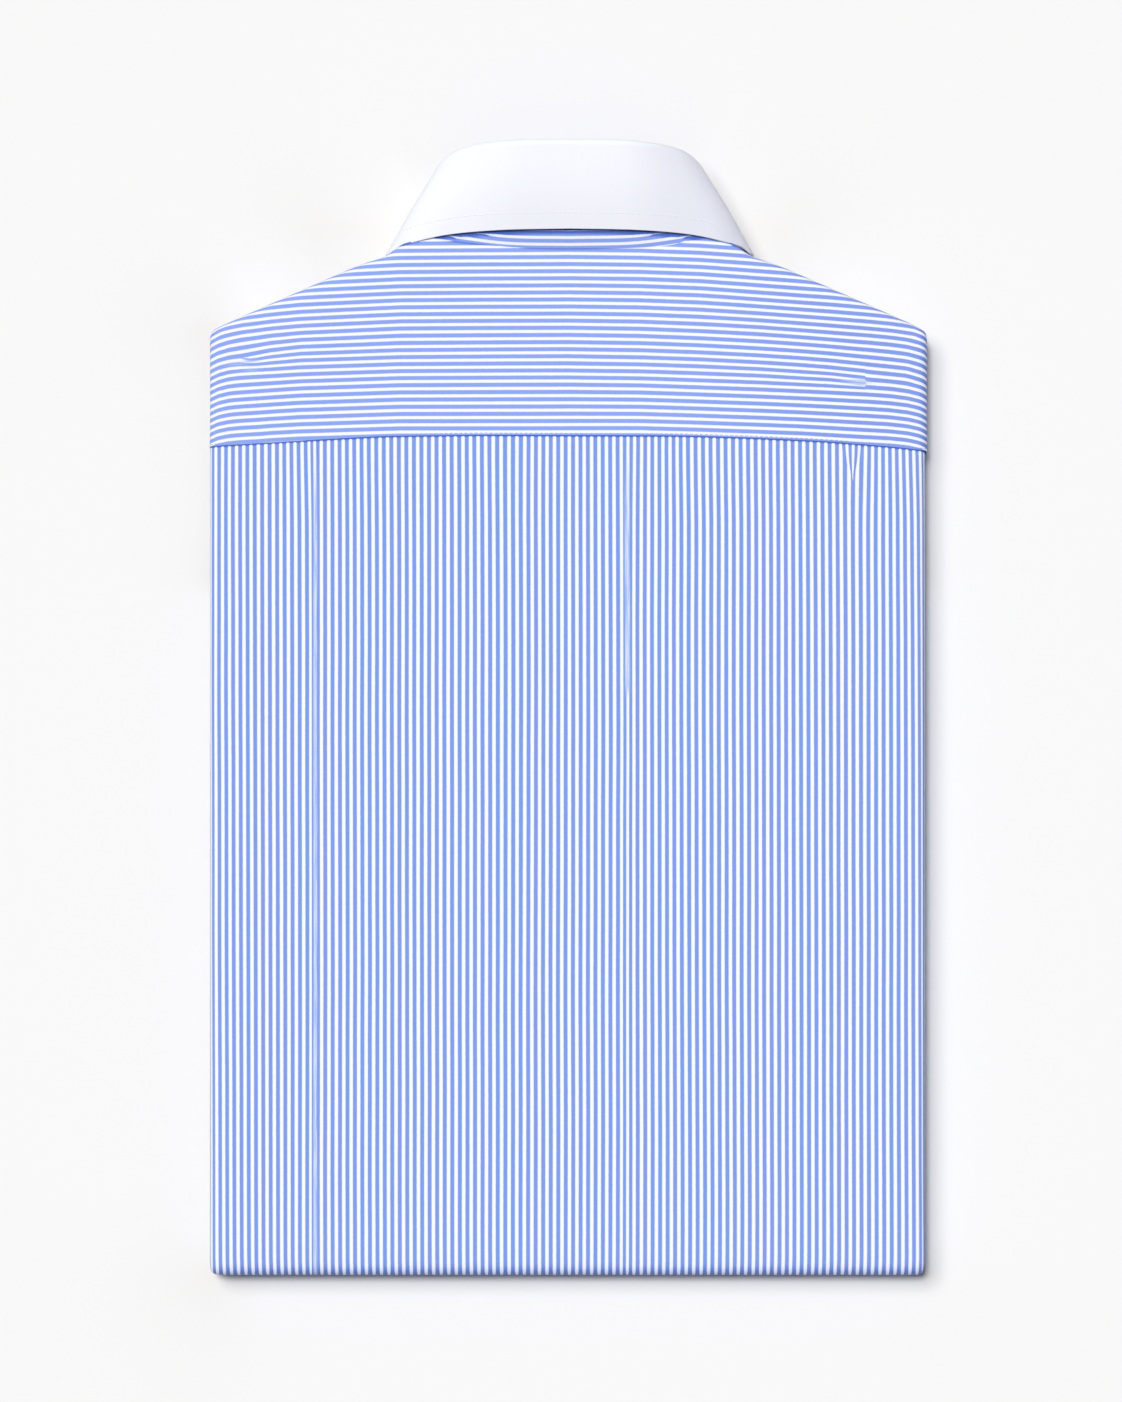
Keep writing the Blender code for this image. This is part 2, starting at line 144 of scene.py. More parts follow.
def shellFaces(rows, columns, tube):
    # a shell's faces by their points, and by their places on the flat cloth
    flatIndex = np.arange(rows * columns).reshape(rows, columns)
    index = flatIndex.copy()
    if tube:
        # the last column lies on the first, so its points are shared and its flat place is its own
        index[:, -1] = index[:, 0]
        rims = [(index[0, ::-1], flatIndex[0, ::-1]), (index[-1], flatIndex[-1])]
    else:
        # once round the sheet's edge
        rims = [tuple(
            np.concatenate([t[:, 0], t[-1, 1:], t[-2::-1, -1], t[0, -2::-1]]) for t in (index, flatIndex)
        )]
    far = rows * columns
    outer, outerFlat = gridFaces(index), gridFaces(flatIndex)
    faces, flats = [outer, outer[:, ::-1] + far], [outerFlat, outerFlat[:, ::-1]]
    for line, flatLine in rims:
        faces.append(np.stack([line[1:], line[:-1], line[:-1] + far, line[1:] + far], axis=1))
        flats.append(np.stack([flatLine[1:], flatLine[:-1], flatLine[:-1], flatLine[1:]], axis=1))
    return np.concatenate(faces), np.concatenate(flats)


def clothMesh(name, outer, cloth, thick, material, inner=None, tube=False, skip=None):
    # a thin shell: the outer face goes through the grid, and the inner one lies a thickness in
    if inner is None:
        inner = outer - clothNormals(outer) * thick
    points = np.concatenate([outer.reshape(-1, 3), inner.reshape(-1, 3)]) * mm
    faces, flats = shellFaces(*outer.shape[:2], tube)
    used = np.unique(faces)
    place = np.zeros(len(points), dtype=np.int64)
    place[used] = np.arange(len(used))
    data = bpy.data.meshes.new(name)
    data.vertices.add(len(used))
    data.vertices.foreach_set("co", points[used].ravel())
    data.loops.add(len(faces) * 4)
    data.loops.foreach_set("vertex_index", place[faces].ravel().astype(np.int32))
    data.polygons.add(len(faces))
    data.polygons.foreach_set("loop_start", np.arange(0, len(faces) * 4, 4, dtype=np.int32))
    data.update(calc_edges=True)
    uv = data.uv_layers.new(name="cloth")
    places = cloth.reshape(-1, 2)[flats]
    if skip:
        # where a stripe is folded away, whole repeats are left out, so that the pattern goes on
        axis, repeat, folds = skip
        for shut, past in folds:
            count = np.round(shut.ravel()[flats].mean(axis=1, keepdims=True))
            places[:, :, axis] -= count * past.ravel()[flats] * repeat
    uv.data.foreach_set("uv", (places * mm).ravel())
    data.polygons.foreach_set("use_smooth", np.ones(len(faces), dtype=bool))
    data.materials.append(material)
    shell = bmesh.new()
    shell.from_mesh(data)
    bmesh.ops.recalc_face_normals(shell, faces=shell.faces)
    shell.to_mesh(data)
    shell.free()
    data.set_sharp_from_angle(angle=math.radians(50))
    piece = bpy.data.objects.new(name, data)
    bpy.context.scene.collection.objects.link(piece)
    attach(piece, "root")
    return piece


def pointValue(piece, name, value):
    # a value at each point of the outer face; the inner face takes the same
    layer = piece.data.attributes.new(name, "FLOAT", "POINT")
    both = np.tile(np.asarray(value, float).ravel(), 2)
    layer.data.foreach_set("value", both[:len(layer.data)])


def clothArea(grid):
    # in square metres
    a, b, c, d = grid[:-1, :-1], grid[:-1, 1:], grid[1:, 1:], grid[1:, :-1]
    one = np.linalg.norm(np.cross(b - a, c - a), axis=2)
    two = np.linalg.norm(np.cross(c - a, d - a), axis=2)
    return float((one + two).sum() / 2) * mm * mm


def flatArea(grid, size):
    # a piece's area, which is never more than that of the rectangle it is cut from
    return min(clothArea(grid), size[0] * size[1])


def newMaterial(name):
    material = bpy.data.materials.new(name)
    material.use_nodes = True
    tree = material.node_tree
    shader = tree.nodes["Principled BSDF"]
    shader.inputs["Metallic"].default_value = 0.0
    return material, tree, shader


def addNode(tree, kind, **values):
    node = tree.nodes.new(kind)
    for key, value in values.items():
        setattr(node, key, value)
    return node


def mathNode(tree, operation, one, two=None, three=None, clamp=False):
    node = addNode(tree, "ShaderNodeMath", operation=operation, use_clamp=clamp)
    for place, value in enumerate((one, two, three)):
        if value is None:
            continue
        if isinstance(value, (int, float)):
            node.inputs[place].default_value = value
        else:
            tree.links.new(value, node.inputs[place])
    return node.outputs[0]


def mixColour(tree, part, one, two, blend="MIX"):
    node = addNode(tree, "ShaderNodeMix", data_type="RGBA", blend_type=blend)
    for socket, value in ((node.inputs[0], part), (node.inputs[6], one), (node.inputs[7], two)):
        if isinstance(value, (int, float)):
            socket.default_value = value
        elif isinstance(value, tuple):
            socket.default_value = (*value, 1.0)
        else:
            tree.links.new(value, socket)
    return node.outputs[2]


def clothPlace(tree):
    # the cloth's own flat coordinates, in millimetres
    uv = addNode(tree, "ShaderNodeUVMap", uv_map="cloth")
    split = addNode(tree, "ShaderNodeSeparateXYZ")
    tree.links.new(uv.outputs[0], split.inputs[0])
    u = mathNode(tree, "MULTIPLY", split.outputs[0], 1000.0)
    v = mathNode(tree, "MULTIPLY", split.outputs[1], 1000.0)
    return u, v


def noiseOn(tree, u, v, scaleU, scaleV, detail=2.0, rough=0.5):
    place = addNode(tree, "ShaderNodeCombineXYZ")
    tree.links.new(mathNode(tree, "MULTIPLY", u, scaleU), place.inputs[0])
    tree.links.new(mathNode(tree, "MULTIPLY", v, scaleV), place.inputs[1])
    noise = addNode(tree, "ShaderNodeTexNoise", noise_dimensions="2D")
    noise.inputs["Scale"].default_value = 1.0
    noise.inputs["Detail"].default_value = detail
    noise.inputs["Roughness"].default_value = rough
    tree.links.new(place.outputs[0], noise.inputs["Vector"])
    return noise.outputs["Fac"]


def weaveHeight(tree, u, v, yarn):
    # plain weave: warp and weft yarns pass over each other in turn
    warp = mathNode(tree, "SINE", mathNode(tree, "MULTIPLY", u, 2 * math.pi / yarn))
    weft = mathNode(tree, "SINE", mathNode(tree, "MULTIPLY", v, 2 * math.pi / yarn))
    return mathNode(tree, "MULTIPLY", warp, weft)


def clothBump(tree, shader, height, strength, distance):
    node = addNode(tree, "ShaderNodeBump")
    node.inputs["Strength"].default_value = strength
    node.inputs["Distance"].default_value = distance
    tree.links.new(height, node.inputs["Height"])
    tree.links.new(node.outputs[0], shader.inputs["Normal"])


def readValue(tree, name):
    return addNode(tree, "ShaderNodeAttribute", attribute_name=name).outputs["Fac"]


def stripeBlueness(tree, across, along, turns, weave, paleAndHighlight, seam):
    # 0 on a white stripe and 1 on a blue one, with a fuzzy edge between
    away = mathNode(tree, "ABSOLUTE", mathNode(tree, "SUBTRACT", turns, mathNode(tree, "ROUND", turns)))
    fuzz = noiseOn(tree, across, along, 1.4, 0.5, 2.0, 0.7)
    half = mathNode(tree, "MULTIPLY_ADD", fuzz, 0.05, weave["white"] / weave["repeat"] / 2 - 0.025)
    # where the painted shade is deep, as at the yoke's seam, the white ones close up and end round
    closing = mathNode(tree, "MULTIPLY", mathNode(tree, "POWER", seam, 6.0), 0.30)
    half = mathNode(tree, "SUBTRACT", half, closing)
    ramp = addNode(tree, "ShaderNodeMapRange", interpolation_type="SMOOTHSTEP")
    tree.links.new(away, ramp.inputs["Value"])
    tree.links.new(mathNode(tree, "SUBTRACT", half, 0.055), ramp.inputs["From Min"])
    tree.links.new(mathNode(tree, "ADD", half, 0.055), ramp.inputs["From Max"])
    # where the cloth is paler, under the painted highlight along the creases and on the puckers, it is
    # streaked between the two
    streak = noiseOn(tree, across, along, 2.1, 0.05, 2.0, 0.6)
    streak = mathNode(tree, "MULTIPLY_ADD", streak, 4.0, -1.5, clamp=True)
    palest, deepest = weave["paleRange"]
    paleBlend = mathNode(tree, "MULTIPLY_ADD", streak, deepest - palest, palest)
    mixed = addNode(tree, "ShaderNodeMix", data_type="FLOAT")
    for place, value in ((0, paleAndHighlight), (2, ramp.outputs["Result"]), (3, paleBlend)):
        tree.links.new(value, mixed.inputs[place])
    return mixed.outputs[0]


def stripeTint(tree, across, along, turns, weave, paleAndHighlight, seam):
    # dye lots: each stripe has a tint of its own
    main, first, second = weave["blues"]
    lot = addNode(tree, "ShaderNodeTexWhiteNoise", noise_dimensions="1D")
    tree.links.new(mathNode(tree, "FLOOR", turns), lot.inputs["W"])
    tint = mixColour(tree, lot.outputs["Value"], second, first)
    slow = noiseOn(tree, across, along, 0.035, 0.008, 2.0)
    tint = mixColour(tree, mathNode(tree, "MULTIPLY_ADD", slow, 1.4, -0.2, clamp=True), tint, main)
    # painted highlight: a paler blue along the creases; the puckers are paler too
    tint = mixColour(tree, paleAndHighlight, tint, dyes["paleAndHighlightBlue"])
    # painted shade: a deeper blue at the yoke's seam, round the bottom fold, at the right side and under the
    # collar's leaf
    return mixColour(tree, mathNode(tree, "MULTIPLY", seam, 0.9, clamp=True), tint, dyes["shadeBlue"])


def stripedCotton(name, weave, lengthways):
    material, tree, shader = newMaterial(name)
    u, v = clothPlace(tree)
    across, along = (u, v) if lengthways else (v, u)
    wander = noiseOn(tree, across, along, 0.02, 0.012, 1.0)
    shift = mathNode(tree, "MULTIPLY_ADD", wander, 0.3, -0.15 + weave["phase"])
    turns = mathNode(tree, "DIVIDE", mathNode(tree, "SUBTRACT", across, shift), weave["repeat"])
    paleAndHighlight, seam = readValue(tree, "paleAndHighlight"), readValue(tree, "seam")
    blueness = stripeBlueness(tree, across, along, turns, weave, paleAndHighlight, seam)
    tint = stripeTint(tree, across, along, turns, weave, paleAndHighlight, seam)
    shadow = mathNode(tree, "MULTIPLY_ADD", seam, 2.0, -0.3, clamp=True)
    colour = mixColour(tree, blueness, mixColour(tree, shadow, dyes["white"], dyes["shadedWhite"]), tint)
    # uneven yarns shade it, the blue ones more
    slub = noiseOn(tree, across, along, 3.0, 0.06, 3.0, 0.65)
    bars = noiseOn(tree, across, along, 0.08, 2.2, 3.0, 0.65)
    shade = mathNode(tree, "MULTIPLY_ADD", slub, 0.16, mathNode(tree, "MULTIPLY_ADD", bars, 0.10, 0.87))
    grey = addNode(tree, "ShaderNodeCombineXYZ")
    for socket in grey.inputs:
        tree.links.new(shade, socket)
    shaded = mixColour(tree, 1.0, colour, grey.outputs[0], "MULTIPLY")
    colour = mixColour(tree, mathNode(tree, "MULTIPLY_ADD", blueness, 0.75, 0.12), colour, shaded)
    tree.links.new(colour, shader.inputs["Base Color"])
    tree.links.new(mathNode(tree, "MULTIPLY_ADD", slub, 0.16, 0.72), shader.inputs["Roughness"])
    shader.inputs["Specular IOR Level"].default_value = 0.25
    shader.inputs["Sheen Weight"].default_value = 0.12
    shader.inputs["Sheen Roughness"].default_value = 0.5
    yarns = mathNode(tree, "MULTIPLY", weaveHeight(tree, u, v, 0.34), 0.35)
    clothBump(tree, shader, mathNode(tree, "MULTIPLY_ADD", slub, 0.9, yarns), 0.35, 0.00008)
    return material


def whiteCotton(name):
    material, tree, shader = newMaterial(name)
    u, v = clothPlace(tree)
    slub = noiseOn(tree, u, v, 2.4, 0.12, 3.0, 0.6)
    patch = noiseOn(tree, u, v, 0.05, 0.05, 3.0, 0.55)
    part = mathNode(tree, "MULTIPLY_ADD", slub, 0.5, mathNode(tree, "MULTIPLY", patch, 0.5))
    colour = mixColour(tree, part, (0.908, 0.916, 0.994), (0.948, 0.955, 1.0))
    # it turns away from the light to the right
    colour = mixColour(tree, readValue(tree, "turned"), colour, (0.80, 0.81, 0.905))
    tree.links.new(colour, shader.inputs["Base Color"])
    tree.links.new(mathNode(tree, "MULTIPLY_ADD", slub, 0.14, 0.7), shader.inputs["Roughness"])
    shader.inputs["Specular IOR Level"].default_value = 0.25
    shader.inputs["Sheen Weight"].default_value = 0.1
    yarns = mathNode(tree, "MULTIPLY", weaveHeight(tree, u, v, 0.3), 0.4)
    clothBump(tree, shader, mathNode(tree, "MULTIPLY_ADD", slub, 0.6, yarns), 0.3, 0.00007)
    return material


def threadMaterial(name, light, dark):
    material, tree, shader = newMaterial(name)
    place = addNode(tree, "ShaderNodeTexCoord")
    noise = addNode(tree, "ShaderNodeTexNoise")
    noise.inputs["Scale"].default_value = 2500.0
    tree.links.new(place.outputs["Object"], noise.inputs["Vector"])
    tree.links.new(mixColour(tree, noise.outputs["Fac"], dark, light), shader.inputs["Base Color"])
    shader.inputs["Roughness"].default_value = 0.55
    clothBump(tree, shader, noise.outputs["Fac"], 0.3, 0.00005)
    return material


backStripe = stripedCotton("back_stripe", backWeave, True)
yokeStripe = stripedCotton("yoke_stripe", yokeWeave, False)
standStripe = stripedCotton("stand_stripe", standWeave, False)
collarWhite = whiteCotton("collar_white")
whiteThread = threadMaterial("white_thread", (0.93, 0.935, 0.96), (0.78, 0.8, 0.86))
blueThread = threadMaterial("blue_thread", (0.36, 0.48, 0.90), (0.27, 0.39, 0.86))
print("cloth materials made")


def hemLine(x):
    return fold["hemY"] - fold["hemRise"] * (np.abs(x) / fold["halfWidth"]) ** fold["hemPower"]


# the yoke's seam: how high it lies, at places counted round the body from the middle of the back
seamLine = {
    "round": (-200.0, -160.0, -143.0, -101.0, -74.0, -37.0, 45.0, 74.0, 103.0, 132.0, 143.0, 160.0, 200.0),
    "y": (98.4, 103.0, 104.9, 107.4, 108.9, 109.4, 109.1, 108.2, 106.8, 104.4, 103.1, 101.0, 96.2),
}


def seamAt(roundX):
    # how high the seam lies at a way round the body, softened between its points
    fine = np.linspace(seamLine["round"][0], seamLine["round"][-1], 161)
    rough = np.interp(fine, seamLine["round"], seamLine["y"])
    kernel = np.array([1, 2, 3, 4, 3, 2, 1.0])
    padded = np.pad(rough, 3, mode="edge")
    soft = np.convolve(padded, kernel / kernel.sum(), mode="valid")
    return np.interp(roundX, fine, soft)


def rollSteps(width, depth, steps, power):
    # a folded edge, from the top of the stack to its bottom: how far out it goes and how far down
    angle = math.pi / 2 - math.pi * np.arange(steps + 1) / steps
    out = width * np.abs(np.cos(angle)) ** (2 / power)
    out[0] = out[-1] = 0.0
    return out, depth / 2 * (1 - powered(np.sin(angle), power))


def backStations(upperStep, underStep, turnSteps):
    # the way down the top, round the bottom fold and up underneath
    reach = fold["eyeReach"]
    upper = np.linspace(0, 1, int(fold["upperLength"] / upperStep))[:-1]
    near = np.linspace(reach, 0, 9)[:-1]
    under = np.linspace(0, 1, int(fold["underLength"] / underStep))[1:]
    stations = [("upper", value) for value in upper] + [("near", value) for value in near]
    stations += [("turn", math.pi / 2 - math.pi * k / turnSteps) for k in range(turnSteps + 1)]
    return stations + [("far", value) for value in near[::-1]] + [("under", value) for value in under]


def stackDepth(station):
    # the stack is thinner at the bottom fold
    kind, value = station
    if kind == "turn":
        return fold["eyeStack"]
    if kind in ("upper", "under"):
        return fold["stack"]
    return fold["eyeStack"] + (fold["stack"] - fold["eyeStack"]) * float(smoothStep(value / fold["eyeReach"]))


def placeLayer(x, station, depth, topY, endY):
    # where a point that deep in the stack lies, at a station of the way round the bottom fold
    kind, value = station
    x, depth, topY, endY = np.broadcast_arrays(
        np.asarray(x, float), np.asarray(depth, float), np.asarray(topY, float), np.asarray(endY, float)
    )
    reachY = turnY + fold["eyeReach"]
    if kind == "upper":
        y, z = topY + (reachY - topY) * value, fold["height"] - depth
    elif kind == "near":
        y, z = np.full_like(x, turnY + value), fold["height"] - depth
    elif kind == "far":
        y, z = np.full_like(x, turnY + value), depth
    elif kind == "under":
        y, z = reachY + (endY - reachY) * value, depth
    else:
        share = (foldMiddle - depth) / foldMiddle
        y = turnY - fold["turn"] * share * abs(math.cos(value)) ** (2 / fold["turnPower"])
        z = foldMiddle + (foldMiddle - depth) * powered(math.sin(value), fold["turnPower"])
    return np.stack([x, y, z], axis=-1)


backCut = {
    "thick": 0.8,
    "columnStep": 2.0,
    "rollSteps": 18,
    "flapSteps": 8,
    "upperStep": 5.0,
    "underStep": 9.0,
    "turnSteps": 28,
    "tuckUnderYoke": 2.6,
    "tuckDeep": 0.55,
    "stripeEdge": 141.2,
    "seamDark": 0.35,
    "seamShade": 0.8,
    "foldShade": 0.75,
    "drawnIn": 0.001,
    "leftOut": 0.8,
    "edgeDraw": 0.9,
    "leftDraw": 0.4,
    "edgeReach": 1.2,
    "closeRows": ((0.0, 4.2, 0.3), (4.2, 19.0, 1.1)),
    "closestColumns": 0.16,
    "creaseColumns": (3.0, 25),
    "dartColumns": (5.2, 27),
    "foldReach": 5.5,
    "deepestSink": 0.9,
}

# Pressed creases down the back: place, half width, depth, how far down from the yoke each one
# runs, and the painted highlight along it, which makes the cloth paler
backCreases = (
    {"x": -101.6, "half": 2.0, "deep": 0.20, "from": 0.0, "to": 400.0, "seed": 1.0,
     "pale": {"off": 0.35, "half": 0.74, "paleness": 0.97, "from": 4.0, "ease": 34.0, "to": 420.0}},
    {"x": 23.6, "half": 2.0, "deep": 0.12, "from": 0.0, "to": 400.0, "seed": 2.3,
     "pale": {"off": 0.0, "half": 1.0, "paleness": 0.93, "from": 7.0, "ease": 34.0, "to": 105.5}},
    {"x": -21.6, "half": 2.4, "deep": 0.10, "from": 0.0, "to": 46.0, "seed": 3.9, "pale": None},
)
yokeDart = {"x": 113.7, "top": 105.4, "bottom": 92.0, "wide": 10.0, "half": 3.4, "rise": 0.3}


def creaseFade(crease, down):
    start = smoothStep((down - crease["from"] + 4) / 4)
    end = 1 - smoothStep((down - crease["to"] + 18) / 18)
    return start * end


def backRelief(x, y, down):
    # how far the back's cloth sinks (+) or lifts (-) at a place on its top
    sink = np.zeros_like(x)
    for crease in backCreases:
        wander = 0.12 * noiseLine(down, crease["seed"])
        off = (x - crease["x"] - wander) / crease["half"]
        strength = 0.75 + 0.25 * noiseLine(down * 1.7, crease["seed"] + 4)
        fade = strength * creaseFade(crease, down)
        sink -= crease["deep"] * fade * bump((off + 0.25) / 0.75)
        sink += crease["deep"] * 1.5 * fade * bump((off - 0.75) / 0.32)
    part = np.clip((yokeDart["top"] - y) / (yokeDart["top"] - yokeDart["bottom"]), 0, 1.2)
    half = yokeDart["half"] * (1.05 - part)
    live = (part < 1.0) & (half > 0.05)
    off = np.where(live, (x - yokeDart["x"]) / np.maximum(half, 0.3), 9.0)
    sink -= yokeDart["rise"] * (1 - part) * bump(off * 0.8) * live
    sink += 0.35 * (1 - part) * (bump((off - 1.25) * 1.6) + bump((off + 1.25) * 1.6)) * live
    # the body isn't dead flat: long shallow swells
    sink += 0.10 * np.sin(x * 0.052 + 0.8 + 0.4 * np.sin(y * 0.013)) * np.sin(y * 0.016 + 1.1)
    sink += 0.05 * np.sin(x * 0.113 + y * 0.021 + 2.0)
    return sink


def creaseHighlight(x, down):
    # the painted highlight along each crease, where the cloth looks paler
    value = np.zeros_like(x)
    for crease in backCreases:
        pale = crease["pale"]
        if not pale:
            continue
        wander = 0.12 * noiseLine(down, crease["seed"])
        off = np.abs(x - crease["x"] - wander - pale["off"])
        patchy = 0.93 + 0.07 * noiseLine(down * 3.1, crease["seed"] + 9)
        ends = smoothStep((down - pale["from"]) / pale["ease"]) * smoothStep((pale["to"] - down) / 3.0)
        value += pale["paleness"] * patchy * ends * smoothStep((pale["half"] - off) / 0.45 + 0.5)
    return np.clip(value, 0, 1)


# Where the pressing left the stripes: the place across of some white stripes, counted from the
# left, at four heights up the back
stripePlaces = {
    "number": (0, 1, 2, 5, 9, 13, 14, 15, 22, 30, 38, 42, 47, 55, 56, 57, 64, 74, 85, 88, 91, 94, 95, 96),
    "y": (102.5, 75.3, 27.3, -221.5),
    "x": (
        (-141.25, -138.55, -135.8, -127.2, -115.3, -103.9, -101.7, -99.1, -78.6, -54.5, -30.3, -17.6,
         -2.8, 20.9, 23.6, 26.2, 46.1, 76.2, 108.7, 118.7, 127.0, 135.2, 138.0, 140.5),
        (-141.3, -138.6, -135.9, -127.2, -115.3, -103.4, -101.6, -99.1, -78.4, -54.4, -30.1, -17.7,
         -2.8, 21.1, 23.6, 26.0, 46.4, 76.4, 109.0, 118.2, 127.2, 135.8, 138.55, 141.0),
        (-141.35, -138.65, -135.8, -127.1, -115.2, -103.2, -101.6, -99.0, -78.2, -54.4, -30.0, -17.6,
         -2.8, 21.2, 23.6, 25.9, 46.4, 76.4, 109.2, 118.3, 127.3, 136.1, 138.9, 141.35),
        (-140.8, -138.1, -135.2, -126.5, -114.8, -103.2, -101.6, -99.0, -78.1, -54.2, -30.0, -17.9,
         -2.8, 21.0, 23.4, 26.0, 47.0, 76.8, 109.6, 118.5, 127.6, 136.6, 139.5, 142.1),
    ),
}


def stripeNumber(x, y):
    repeat, numbers, heights = backWeave["repeat"], stripePlaces["number"], stripePlaces["y"]
    rows = [
        np.interp(x, places, numbers)
        + np.minimum(x - places[0], 0) / repeat + np.maximum(x - places[-1], 0) / repeat
        for places in stripePlaces["x"]
    ]
    number = rows[0]
    for k in range(len(rows) - 1):
        part = np.clip((heights[k] - y) / (heights[k] - heights[k + 1]), 0, 1)
        number = number + (rows[k + 1] - rows[k]) * part
    return number


def dartShare(x, y):
    # one more stripe fits in at the seam, and is folded away by the dart's tip
    part = np.clip((y - yokeDart["bottom"]) / (yokeDart["top"] - yokeDart["bottom"]), 0, 1.1)
    width = np.maximum(yokeDart["wide"] * part, 0.01)
    return np.clip((x - yokeDart["x"] - 0.01) / width + 0.5, 0, 1)


def backCloth(x, y, roundX, edgeWay):
    # the flat cloth's own place across: stripes by number on top, and evenly round the edges
    edge = backCut["stripeEdge"]
    beyond = np.maximum(np.abs(roundX) - edgeWay, 0)
    topX = np.where(beyond > 0, np.sign(roundX) * edge, x)
    closer = 1 + backCut["drawnIn"] * smoothStep(1 - (y - fold["bottomY"]) / 9.0)
    number = stripeNumber(topX * closer, y) + dartShare(topX, y)
    # the edges are pulled in a little, so that a blue stripe lies on the right one
    draw = np.where(roundX > 0, backCut["edgeDraw"], backCut["leftDraw"])
    drawn = draw * np.minimum(beyond, backCut["edgeReach"])
    return number * backWeave["repeat"] + np.sign(roundX) * (beyond + drawn)


def pushOut(grid, lift):
    return grid + clothNormals(grid) * lift[..., None]


def backRows():
    # rows lie close together by the seam and along the dart
    cut, length = backCut, fold["upperLength"]
    close = np.concatenate([np.arange(*part) for part in cut["closeRows"]]) / length
    stations = backStations(cut["upperStep"], cut["underStep"], cut["turnSteps"])
    upper = [value for kind, value in stations if kind == "upper" and value > close[-1] + 1.2 / length]
    others = [station for station in stations if station[0] != "upper"]
    return [("upper", value) for value in [*close, *upper]] + others


def backColumns(flatEnd):
    # columns lie close together along the creases and the dart
    cut = backCut
    flat = [np.linspace(-flatEnd, flatEnd, int(2 * flatEnd / cut["columnStep"]) + 1)]
    reach, count = cut["creaseColumns"]
    flat += [crease["x"] + np.linspace(-reach, reach, count) for crease in backCreases]
    reach, count = cut["dartColumns"]
    flat = np.sort(np.concatenate([*flat, yokeDart["x"] + np.linspace(-reach, reach, count)]))
    keep = np.concatenate([[True], np.diff(flat) > cut["closestColumns"]])
    keep[-1] = True
    return flat[keep]


def backForm(stations):
    # the back's outer face, each point's way round the body, where the edge's own stripes begin,
    # and where creases may show
    cut = backCut
    flatEnd = fold["halfWidth"] - fold["roll"]
    flat = backColumns(flatEnd)
    grid, ways, edgeWays, soft = [], [], [], []
    for station in stations:
        depth = stackDepth(station)
        out, drop = rollSteps(fold["roll"], depth, cut["rollSteps"], fold["rollPower"])
        inX = np.linspace(flatEnd, fold["halfWidth"] - fold["flap"], cut["flapSteps"])[1:]
        edgeX = np.concatenate([(flatEnd + out)[1:], inX])
        edgeDeep = np.concatenate([drop[1:], np.full(len(inX), depth)])
        x = np.concatenate([-edgeX[::-1] - cut["leftOut"], flat, edgeX])
        deep = np.concatenate([edgeDeep[::-1], np.zeros(len(flat)), edgeDeep])
        way = wayAlong(np.stack([x, deep], axis=1))
        way -= np.interp(0.0, flat, way[len(edgeX):len(edgeX) + len(flat)])
        endY = hemLine(np.minimum(np.abs(way), fold["halfWidth"] + fold["flap"] / 2))
        grid.append(placeLayer(x, station, deep, seamAt(way) + cut["tuckUnderYoke"], endY))
        ways.append(way)
        peak = int(np.argmax(edgeX)) + 1
        edgeWays.append(np.interp(cut["stripeEdge"], edgeX[:peak], way[-len(edgeX):][:peak]))
        fade = {"upper": 1.0, "near": 0.3 + 0.7 * station[1] / fold["eyeReach"]}.get(station[0], 0.0)
        soft.append(fade * smoothStep((flatEnd + 2 - np.abs(x)) / 10) * (deep < 0.01))
    return np.array(grid), np.array(ways), np.array(edgeWays)[:, None], np.array(soft)


def buildBack():
    cut = backCut
    stations = backRows()
    grid, ways, edgeWays, soft = backForm(stations)
    middle = grid.shape[1] // 2
    down = np.broadcast_to(wayAlong(grid[:, middle])[:, None], ways.shape)
    x, y = grid[..., 0], grid[..., 1]
    onTop = np.array([station[0] in ("upper", "near") for station in stations])[:, None]
    underYoke = seamAt(ways) - y
    tuck = cut["tuckDeep"] * smoothStep(1 - (underYoke + 0.8) / 1.6) * onTop
    sink = np.maximum(backRelief(x, y, down) * soft, -cut["deepestSink"]) + tuck
    past = down > down[np.argmin(y[:, middle]), 0]
    u = backCloth(x, np.where(past, fold["bottomY"], y), ways, edgeWays)
    folds = (((past | (y < yokeDart["bottom"])) * 1.0, (x > yokeDart["x"]) * 1.0),)
    cloth = np.stack([u, -down], axis=-1)
    outer = pushOut(grid, -sink)
    skip = (0, backWeave["repeat"], folds)
    piece = clothMesh("backPanel", outer, cloth, cut["thick"], backStripe, skip=skip)
    # painted highlight along the creases
    pointValue(piece, "paleAndHighlight", creaseHighlight(x, down) * (1 - past))
    # painted shade: the cloth is darker at the seam under the yoke's edge, round the bottom fold, and at the
    # right edge
    seamShade = smoothStep(1 - (underYoke - cut["seamDark"]) / cut["seamShade"])
    foldShade = cut["foldShade"] * smoothStep(1 - (y - fold["bottomY"]) / cut["foldReach"])
    pointValue(piece, "seam", seamShade + foldShade + 0.5 * smoothStep((x - 141.0) / 1.5))
    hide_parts("back_panel")


buildBack()
print("back panel laid")


